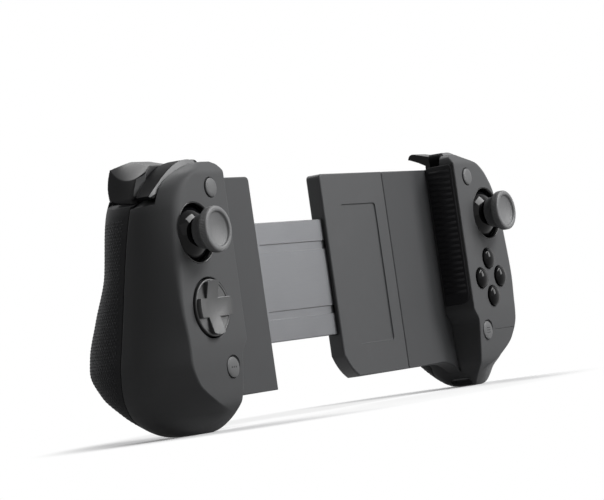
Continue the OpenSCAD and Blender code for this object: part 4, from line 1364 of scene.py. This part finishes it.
class Finish:
    """One procedural node tree, on Object coordinates where it is a material."""

    def __init__(self, data):
        data.use_nodes = True
        self.data = data
        self.tree = data.node_tree
        self.tree.nodes.clear()

    def node(self, kind, inputs=None, **settings):
        """Adds a node: its settings first, then the values or links of its sockets."""
        values = {k: v.socket if isinstance(v, Value) else v for k, v in (inputs or {}).items()}
        return tree_node(self.tree, kind, values, **settings)

    def value(self, kind, inputs, output=0, **settings):
        """Adds a node and takes one of its outputs as a number."""
        return Value(self, self.node(kind, inputs, **settings).outputs[output])

    def place(self, stretch=(1, 1, 1)):
        """Object coordinates, stretched along the axes."""
        where = self.node("ShaderNodeTexCoord").outputs["Object"]
        return self.node("ShaderNodeMapping", {"Vector": where, "Scale": stretch})

    def noise(self, scale, detail=3.0, rough=0.55, stretch=(1, 1, 1)):
        """Noise from 0 to 1, with about scale bumps to the metre."""
        return self.value("ShaderNodeTexNoise", {
            "Vector": self.place(stretch), "Scale": scale, "Detail": detail, "Roughness": rough})

    def cells(self, scale, feature="F1"):
        """Distance to the nearest of scattered points."""
        inputs = {"Vector": self.place(), "Scale": scale}
        return self.value("ShaderNodeTexVoronoi", inputs, "Distance", feature=feature)

    def reach(self, stretch):
        """Distance from the middle of the object, stretched along the axes."""
        return self.value("ShaderNodeVectorMath", {0: self.place(stretch)}, "Value", operation="LENGTH")

    def tint(self, rgb, amount, dark, light):
        """A colour that goes from a darker to a lighter shade of itself with amount."""
        shades = {6: (*[c * dark for c in rgb], 1), 7: (*[min(1, c * light) for c in rgb], 1)}
        return self.node("ShaderNodeMix", {"Factor": amount, **shades}, data_type="RGBA").outputs[2]

    def bump(self, height, distance, strength):
        """A normal from a height."""
        return self.node("ShaderNodeBump", {"Height": height, "Distance": distance, "Strength": strength})

    def seen(self):
        """1 for what the camera, a reflection or a clear piece sees, and 0 for soft light."""
        given = self.node("ShaderNodeLightPath").outputs
        rays = ("Is Camera Ray", "Is Glossy Ray", "Is Transmission Ray")
        eye, mirror, clear = (Value(self, given[ray]) for ray in rays)
        return eye.maximum(mirror).maximum(clear)

    def close(self, inputs):
        """Ends the material in one surface shader."""
        shader = self.node("ShaderNodeBsdfPrincipled", inputs)
        self.node("ShaderNodeOutputMaterial", {"Surface": shader})
        return self.data


def new_finish(name):
    """The empty tree of a new material."""
    return Finish(bpy.data.materials.new(name))


def moulded(name, rgb, rough=0.5, specular=0.3, grain=2600, depth=0.00003):
    """Matte moulded plastic: a fine spark-eroded grain, slightly uneven in shade and sheen."""
    f = new_finish(name)
    fine = f.noise(grain, 2.0, 0.6)
    broad = f.noise(38, 3.0)
    handled = f.noise(90, 4.0).ramp(0.45, 0.8)
    return f.close({
        "Base Color": f.tint(rgb, 0.55 * fine + 0.45 * broad, 0.88, 1.12),
        "Roughness": rough - 0.05 * handled + 0.08 * (fine - 0.5),
        "Specular IOR Level": specular,
        "Normal": f.bump(fine + 0.5 * f.noise(grain * 2.3, 1.0), depth, 0.55),
    })


def rubber(name, rgb, rough=0.66, specular=0.05, grain=1500):
    """Soft-touch rubber: a pebbled skin that scatters light, with faint rubbed patches."""
    f = new_finish(name)
    pebble = f.cells(grain).ramp(0.0, 0.75)
    broad = f.noise(55, 4.0)
    rubbed = f.noise(140, 3.0).ramp(0.55, 0.8)
    return f.close({
        "Base Color": f.tint(rgb, 0.5 * pebble + 0.5 * broad, 0.82, 1.2),
        "Roughness": rough - 0.07 * rubbed + 0.06 * (pebble - 0.5),
        "Specular IOR Level": specular,
        "Normal": f.bump(pebble, 0.00005, 0.5),
    })


def gloss(name, rgb, rough=0.07, specular=0.2):
    """Polished plastic: almost black, with a faint haze of handling on the polish."""
    f = new_finish(name)
    haze = f.noise(260, 4.0).ramp(0.5, 0.85)
    ripple = f.noise(420, 2.0)
    return f.close({
        "Base Color": f.tint(rgb, haze, 0.9, 1.5),
        "Roughness": rough + 0.05 * haze,
        "Specular IOR Level": specular,
        "Normal": f.bump(ripple, 0.00001, 0.12),
    })


def metal(name, rgb, rough=0.3, stretch=(0.04, 1, 1)):
    """Satin metal, brushed along one way."""
    f = new_finish(name)
    lines = f.noise(5200, 3.0, 0.7, stretch)
    broad = f.noise(70, 3.0)
    return f.close({
        "Base Color": f.tint(rgb, 0.6 * lines + 0.4 * broad, 0.8, 1.15),
        "Metallic": 1.0,
        "Roughness": rough + 0.14 * (lines - 0.5) + 0.06 * broad,
        "Normal": f.bump(lines, 0.000012, 0.35),
    })


def circuit(name, rgb):
    """Solder mask over copper tracks."""
    f = new_finish(name)
    tracks = 1 - f.cells(420, "DISTANCE_TO_EDGE").ramp(0.03, 0.06)
    return f.close({
        "Base Color": f.tint(rgb, tracks, 0.8, 1.7),
        "Roughness": 0.38 + 0.12 * f.noise(900, 2.0),
        "Normal": f.bump(tracks, 0.00004, 0.6),
    })


def make_finishes():
    """Makes every finish of the object."""
    colours = bpy.context.scene.controller_colours
    rgb = {key: tuple(getattr(colours, key)) for key in ControllerColours.__annotations__}
    rgb["cell"] = rgb["steel"]
    # Painted shade: the charging port's steel darkened to a small fraction of itself, for the shade inside
    # its slot.
    rgb["port"] = tuple(0.06 * c for c in rgb["steel"])
    upright = (1, 1, 0.06)
    for slot, make, name, *values in (
        ("shell", moulded, "shell_plastic", 0.5, 0.06),
        ("grip", rubber, "grip_rubber"),
        ("pad", rubber, "pad_rubber", 0.7, 0.15, 1900),
        ("wing", moulded, "wing_plastic", 0.52, 0.12),
        ("tongue", metal, "tongue_metal", 0.36),
        ("sleeve", moulded, "sleeve_plastic"),
        ("skirt", gloss, "skirt_polish", 0.06, 0.12),
        ("ring", gloss, "ring_polish", 0.1),
        ("cap", rubber, "cap_rubber", 0.48, 0.45, 2400),
        ("dpad", moulded, "dpad_plastic", 0.4, 0.5, 3200, 0.000015),
        ("button", gloss, "button_polish", 0.07, 0.09),
        ("small_button", moulded, "key_plastic", 0.46),
        ("trigger", moulded, "trigger_plastic", 0.34, 0.1, 3000, 0.00001),
        ("bumper", moulded, "bumper_plastic", 0.5, 0.015, 3000, 0.00001),
        # Painted highlight on the front-edge strips of triggers and bumpers.
        ("facet", moulded, "facet_plastic", 0.45, 0.25, 3000, 0.00001),
        ("mark", moulded, "mark_ink", 0.6),
        ("board", circuit, "board_mask"),
        ("steel", metal, "steel_satin", 0.28, upright),
        ("port", metal, "port_steel", 0.4, upright),
        ("cell", metal, "cell_foil", 0.42, (1, 0.1, 1)),
        ("bracket", moulded, "bracket_plastic"),
    ):
        finishes[slot] = make(name, rgb[slot], *values)


# Stage

FLOOR_REACH = 6.0
FLOOR_SOFT_LIGHT = 0.3
SURROUND_LIGHT = 0.025
AIM = Vector((0, 0, 0.05))
# Each lamp: name, place and size in metres, power in watts
LAMPS = (
    ("key", (0.52, -0.98, 1.0), (1.0, 0.42), 22.5),
    ("front", (-0.1, -1.5, 0.4), (1.6, 1.2), 3.0),
    ("side", (1.03, -1.13, 0.48), (0.42, 0.6), 9.0),
    ("top", (0.35, 0.75, 1.25), (1.2, 0.9), 14.0),
    ("back", (0.1, 1.5, 0.6), (1.2, 1.0), 9.0),
)
LENS = 155.25
SENSOR = 36
CAMERA_PLACE = (-0.82966, -0.53054, 0.02189)
CAMERA_RIGHT = (0.54202, -0.82817, -0.14264)
CAMERA_UP = (0.04425, -0.14137, 0.98897)
CAMERA_AWAY = (0.83920, 0.54235, 0.03997)


class CONTROLLER_OT_stage(bpy.types.Operator):
    """Builds the floor, the lamps, the white surround and the camera"""

    bl_idname = "controller.stage"
    bl_label = "Stage"

    def execute(self, context):
        scene = context.scene
        scene.view_settings.view_transform = "Standard"
        self.floor(tuple(scene.controller_colours.floor))
        for lamp in LAMPS:
            self.lamp(scene, *lamp)
        self.surround(scene)
        self.camera(scene)
        return {"FINISHED"}

    def floor(self, rgb):
        """A pale floor with the object's shadow, which goes over into the white surround; painted light
        near the object lifts that shadow, most between the handles.
        """
        corners = [(x * FLOOR_REACH, y * FLOOR_REACH, 0) for x, y in ((-1, -1), (1, -1), (1, 1), (-1, 1))]
        mesh = bpy.data.meshes.new("floor")
        mesh.from_pydata(corners, [], [(0, 1, 2, 3)])
        f = new_finish("floor_paper")
        far = f.reach((1, 1.8, 1)).ramp(0.11, 0.155)
        # Painted light: white mixed in where the camera and reflections see the floor, strong between the
        # handles and weak at their feet, lifts the shadow there.
        painted_shadow_lift = 0.75 - 0.6 * f.reach((1, 0, 0)).ramp(0.05, 0.09)
        seen = f.seen()
        paper = f.node("ShaderNodeBsdfDiffuse", {"Color": f.tint(rgb, seen, FLOOR_SOFT_LIGHT, 1)})
        white = f.node("ShaderNodeEmission", {"Color": (1, 1, 1, 1), "Strength": 1.0})
        bright = (painted_shadow_lift + far - painted_shadow_lift * far) * seen
        both = f.node("ShaderNodeMixShader", {0: bright, 1: paper, 2: white})
        f.node("ShaderNodeOutputMaterial", {"Surface": both})
        mesh.materials.append(f.data)
        link_mesh("floor", mesh)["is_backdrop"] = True

    def lamp(self, scene, name, place, size, power):
        """A soft lamp that faces the object."""
        light = bpy.data.lights.new(name, "AREA")
        light.shape = "RECTANGLE"
        light.size, light.size_y = size
        light.energy = power
        obj = bpy.data.objects.new(name, light)
        obj.location = place
        obj.rotation_euler = (AIM - obj.location).to_track_quat("-Z", "Y").to_euler()
        scene.collection.objects.link(obj)

    def surround(self, scene):
        """White to the eye and in reflections, and dim as a light."""
        f = Finish(bpy.data.worlds.new("studio"))
        strength = SURROUND_LIGHT + (1 - SURROUND_LIGHT) * f.seen()
        light = f.node("ShaderNodeBackground", {"Color": (1, 1, 1, 1), "Strength": strength})
        f.node("ShaderNodeOutputWorld", {"Surface": light})
        scene.world = f.data

    def camera(self, scene):
        """A camera low on the left side, a little rolled, with a long lens."""
        lens = bpy.data.cameras.new("camera")
        lens.lens, lens.sensor_width = LENS, SENSOR
        obj = bpy.data.objects.new("camera", lens)
        turn = Matrix((CAMERA_RIGHT, CAMERA_UP, [-c for c in CAMERA_AWAY])).transposed().to_4x4()
        obj.matrix_world = Matrix.Translation(CAMERA_PLACE) @ turn
        scene.collection.objects.link(obj)
        scene.camera = obj


class CONTROLLER_PT_panel(bpy.types.Panel):
    """Lists the pieces of the controller"""

    bl_idname = "CONTROLLER_PT_panel"
    bl_label = "Game controller"
    bl_space_type = "VIEW_3D"
    bl_region_type = "UI"
    bl_category = "Controller"

    def draw(self, context):
        for operator in OPERATORS:
            self.layout.operator(operator.bl_idname)
        for group in (context.scene.controller_sizes, context.scene.controller_colours):
            for key in type(group).__annotations__:
                self.layout.prop(group, key)


OPERATORS = (
    CONTROLLER_OT_front_shells,
    CONTROLLER_OT_rear_grips,
    CONTROLLER_OT_bridge,
    CONTROLLER_OT_slot_pads,
    CONTROLLER_OT_sticks,
    CONTROLLER_OT_direction_pad,
    CONTROLLER_OT_buttons,
    CONTROLLER_OT_triggers,
    CONTROLLER_OT_inner_pieces,
    CONTROLLER_OT_stage,
)
CLASSES = (ControllerSizes, ControllerColours, *OPERATORS, CONTROLLER_PT_panel)


def register():
    for cls in CLASSES:
        bpy.utils.register_class(cls)
    bpy.types.Scene.controller_sizes = PointerProperty(type=ControllerSizes)
    bpy.types.Scene.controller_colours = PointerProperty(type=ControllerColours)


def unregister():
    del bpy.types.Scene.controller_colours
    del bpy.types.Scene.controller_sizes
    for cls in reversed(CLASSES):
        bpy.utils.unregister_class(cls)


def main():
    """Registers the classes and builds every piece."""
    register()
    make_finishes()
    for operator in OPERATORS:
        group, name = operator.bl_idname.split(".")
        getattr(getattr(bpy.ops, group), name)()
    boxes = {"cad": CAD_BOX, "visual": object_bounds()}
    {key: [list(map(float, corner)) for corner in value] for key, value in boxes.items()}


if __name__ == "__main__":
    main()
